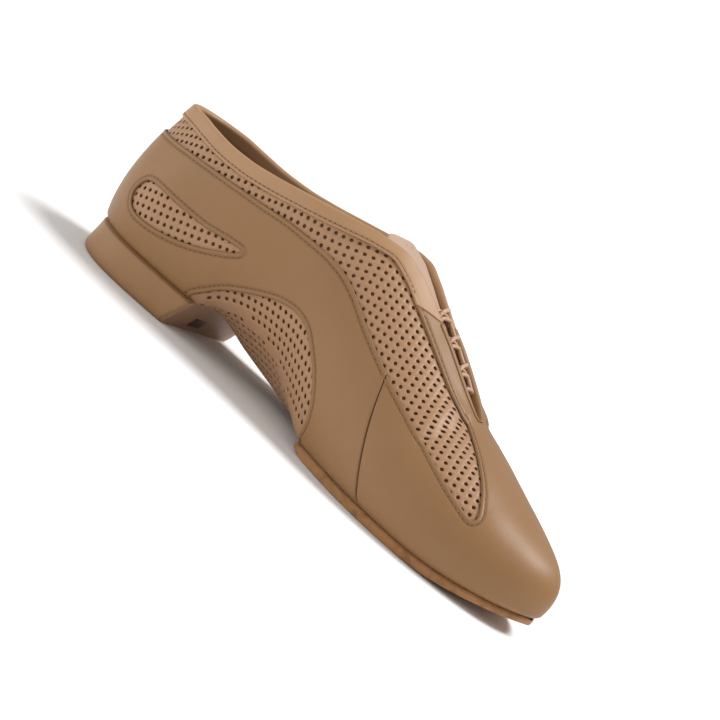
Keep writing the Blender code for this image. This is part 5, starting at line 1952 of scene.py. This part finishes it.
def build_suede_group():
    """Split hide: short nap, brown mottling and pressed-in dirt."""
    group, into, out = group_with(
        "suede surface",
        [
            ("Colour", "NodeSocketColor", (0.38, 0.2, 0.09, 1)),
            ("Stain", "NodeSocketColor", (0.16, 0.07, 0.03, 1)),
        ],
        [("Colour", "NodeSocketColor"), ("Height", "NodeSocketFloat")],
    )
    where = group.nodes.new("ShaderNodeTexCoord").outputs["Object"]
    blots = noise(group, 210, 5, 0.68)
    nap = noise(group, 2400, 2, 0.6)
    broad = noise(group, 60, 2, 0.5)
    for node in (blots, nap, broad):
        group.links.new(where, node.inputs["Vector"])
    broad_share = math_node(group, "MULTIPLY", broad.outputs["Fac"], 0.6)
    both = math_node(group, "ADD", blots.outputs["Fac"], broad_share)
    share = clamped(group, math_node(group, "MULTIPLY_ADD", both, 2.6, -1.95))
    stained = mixed(group, share, into.outputs["Colour"], into.outputs["Stain"])
    group.links.new(stained, out.inputs["Colour"])
    blot_height = math_node(group, "MULTIPLY", blots.outputs["Fac"], 0.8)
    height = math_node(group, "ADD", nap.outputs["Fac"], blot_height)
    group.links.new(height, out.inputs["Height"])
    return group


SUEDE_GROUP = build_suede_group()


def suede(name, colour, stain):
    made, nodes, links, shader = new_material(name, 0.92)
    surface = nodes.new("ShaderNodeGroup")
    surface.node_tree = SUEDE_GROUP
    surface.inputs["Colour"].default_value = (*colour, 1)
    surface.inputs["Stain"].default_value = (*stain, 1)
    bump = nodes.new("ShaderNodeBump")
    bump.inputs["Distance"].default_value = 0.25 * MM
    bump.inputs["Strength"].default_value = 0.7
    links.new(surface.outputs["Height"], bump.inputs["Height"])
    links.new(bump.outputs["Normal"], shader.inputs["Normal"])
    links.new(surface.outputs["Colour"], shader.inputs["Base Color"])
    shader.inputs["Sheen Weight"].default_value = 0.25
    return made


def outsole_places():
    """The sole's skin in loops round its section, from the rear edge to the tip."""
    outline = grown_outline(SOLE_LIP)
    tip = outline[outline[:, 0].argmax()]
    turn = np.linspace(0, math.pi / 2, 40)
    front = SOLE_REAR + (tip[0] - SOLE_REAR) * np.concatenate(
        [np.linspace(0, 0.55, 50)[:-1], 0.55 + 0.45 * np.sin(turn)]
    )
    columns = []
    for station in front:
        medial, lateral = edge_y(outline, station, -1), edge_y(outline, station, 1)
        at_tip = station >= tip[0] - 1e-7
        share = min(1, max(0, (station - SOLE_REAR) / SOLE_REAR_TAPER))
        thick = SOLE_REAR_THIN + (SOLE_THICKNESS - SOLE_REAR_THIN) * math.sin(share * math.pi / 2)
        thick -= SOLE_TIP_THIN * min(1, max(0, (station - SOLE_TIP_FROM) / SOLE_TIP_RUN))
        width = max(lateral - medial, 1e-6)
        loop = [(lateral - min(inset * MM, width / 4), level) for inset, level in SOLE_EDGE]
        ridge = SOLE_RIDGE * min(1, width / (8 * MM)) / thick
        over = [(0.7, 1 + ridge * 0.6), (1.2, 1 + ridge), (1.9, 1 + ridge), (2.8, 1.0)]
        loop += [(lateral - min(inset * MM, width * 0.4), level) for inset, level in over]
        loop += [(y, 1.0) for y in np.linspace(lateral, medial, 15)[2:-2]]
        loop += [(medial + min(inset * MM, width * 0.4), level) for inset, level in reversed(over)]
        loop += [(medial + min(inset * MM, width / 4), level) for inset, level in reversed(SOLE_EDGE)]
        loop += [(y, 0.0) for y in np.linspace(medial, lateral, 17)[1:-1]]
        places = []
        for y, level in loop:
            aside = 0 if at_tip else 2 * (y - medial) / width - 1
            taper = max(0, 1 - (station - SOLE_REAR) / (4 * SOLE_REAR_TAPER))
            x = station - SOLE_REAR_BULGE * (1 - aside**2) * taper
            places.append((x, tip[1] if at_tip else y, spring(x) + SOLE_THICKNESS - thick * (1 - level)))
        columns.append(places + places[:1])
    return np.array(columns) + OFFSET


outsole = laid_grid("suede_sole", outsole_places())
close_seams(outsole, 0.01 * MM, slivers=False, ends=True)
outsole.data.set_sharp_from_angle(angle=math.radians(50))
outsole.data.materials.append(suede("sole suede", (0.36, 0.175, 0.068), (0.15, 0.062, 0.024)))
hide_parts("outsole")
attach(outsole, "root")

# Lace: one thin braided cord, laced from the lowest holes up; it crosses and bars over the tongue
# and runs on under the eyestays, out of sight, to end at the top holes.
LACE_RADIUS = 0.78 * MM
LACE_PITCH = 4.8 * MM
LACE_FIRST = 10.7 * MM
LACE_TUCK = 3.6 * MM
LACE_UNDER = 2.25 * MM
lace_cord = leather(
    "lace cord", (0.46, 0.285, 0.185), (0.50, 0.315, 0.21), (0.28, 0.155, 0.088), 2.0, 0.12 * MM
)


def lace_end(level, side, inset):
    """Place of a lace's end, in from the slit's edge, at a level counted from the lowest holes."""
    station = THROAT_END - LACE_FIRST - level * LACE_PITCH
    return np.array([station, centre(station) + side * (half_width(OPENING, station, side) - inset)])


def lace_pass(start, end, over):
    """A stretch of lace between two places, tucked under at its ends, at a depth in its middle."""
    places = []
    for share in np.linspace(0, 1, 25):
        x, y = start + (end - start) * share
        rise = min(max((0.5 - abs(share - 0.5) - 0.15) / 0.17, 0), 1)
        depth = LACE_UNDER + (over - LACE_UNDER) * rise * rise * (3 - 2 * rise)
        places.append((x, y, under_instep(x, y, depth)))
    return places


tubes = []
for level, next_level, over in (
    # bars lie level; of each crossing one pass lies low and one high, in mm
    (0, 0, -0.1),
    (1, 1, -0.1),
    (3, 3, -0.1),
    (5, 5, -0.1),
    (1, 2, -1.0),
    (2, 1, 0.45),
    (3, 4, -1.0),
    (4, 3, 0.45),
    (5, 6, -1.0),
    (6, 5, 0.45),
):
    ends = lace_end(level, -1, -LACE_TUCK), lace_end(next_level, 1, -LACE_TUCK)
    tubes.append(lace_pass(*ends, over * MM))
for level in (0, 2, 4):
    run = [lace_end(level + up, 1, 2.0 * MM) for up in (0, 1)]
    tubes.append([(x, y, under_instep(x, y, 0.1 * MM)) for x, y in np.linspace(*run, 6)])
curve = bpy.data.curves.new("lace_cord", "CURVE")
curve.dimensions = "3D"
curve.bevel_depth = LACE_RADIUS
curve.bevel_resolution = 3
curve.use_fill_caps = True
for tube in tubes:
    spline = curve.splines.new("POLY")
    spline.points.add(len(tube) - 1)
    for point, place in zip(spline.points, tube):
        point.co = (*(np.array(place) + OFFSET), 1)
lace = bpy.data.objects.new("lace_cord", curve)
bpy.context.scene.collection.objects.link(lace)
bpy.context.view_layer.objects.active = lace
lace.select_set(True)
bpy.ops.object.convert(target="MESH")
lace.select_set(False)
lace.data.shade_smooth()
lace.data.materials.append(lace_cord)
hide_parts("lace")
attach(lace, "root")

size = [[list(corner) for corner in box] for box in (cad_box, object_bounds())]
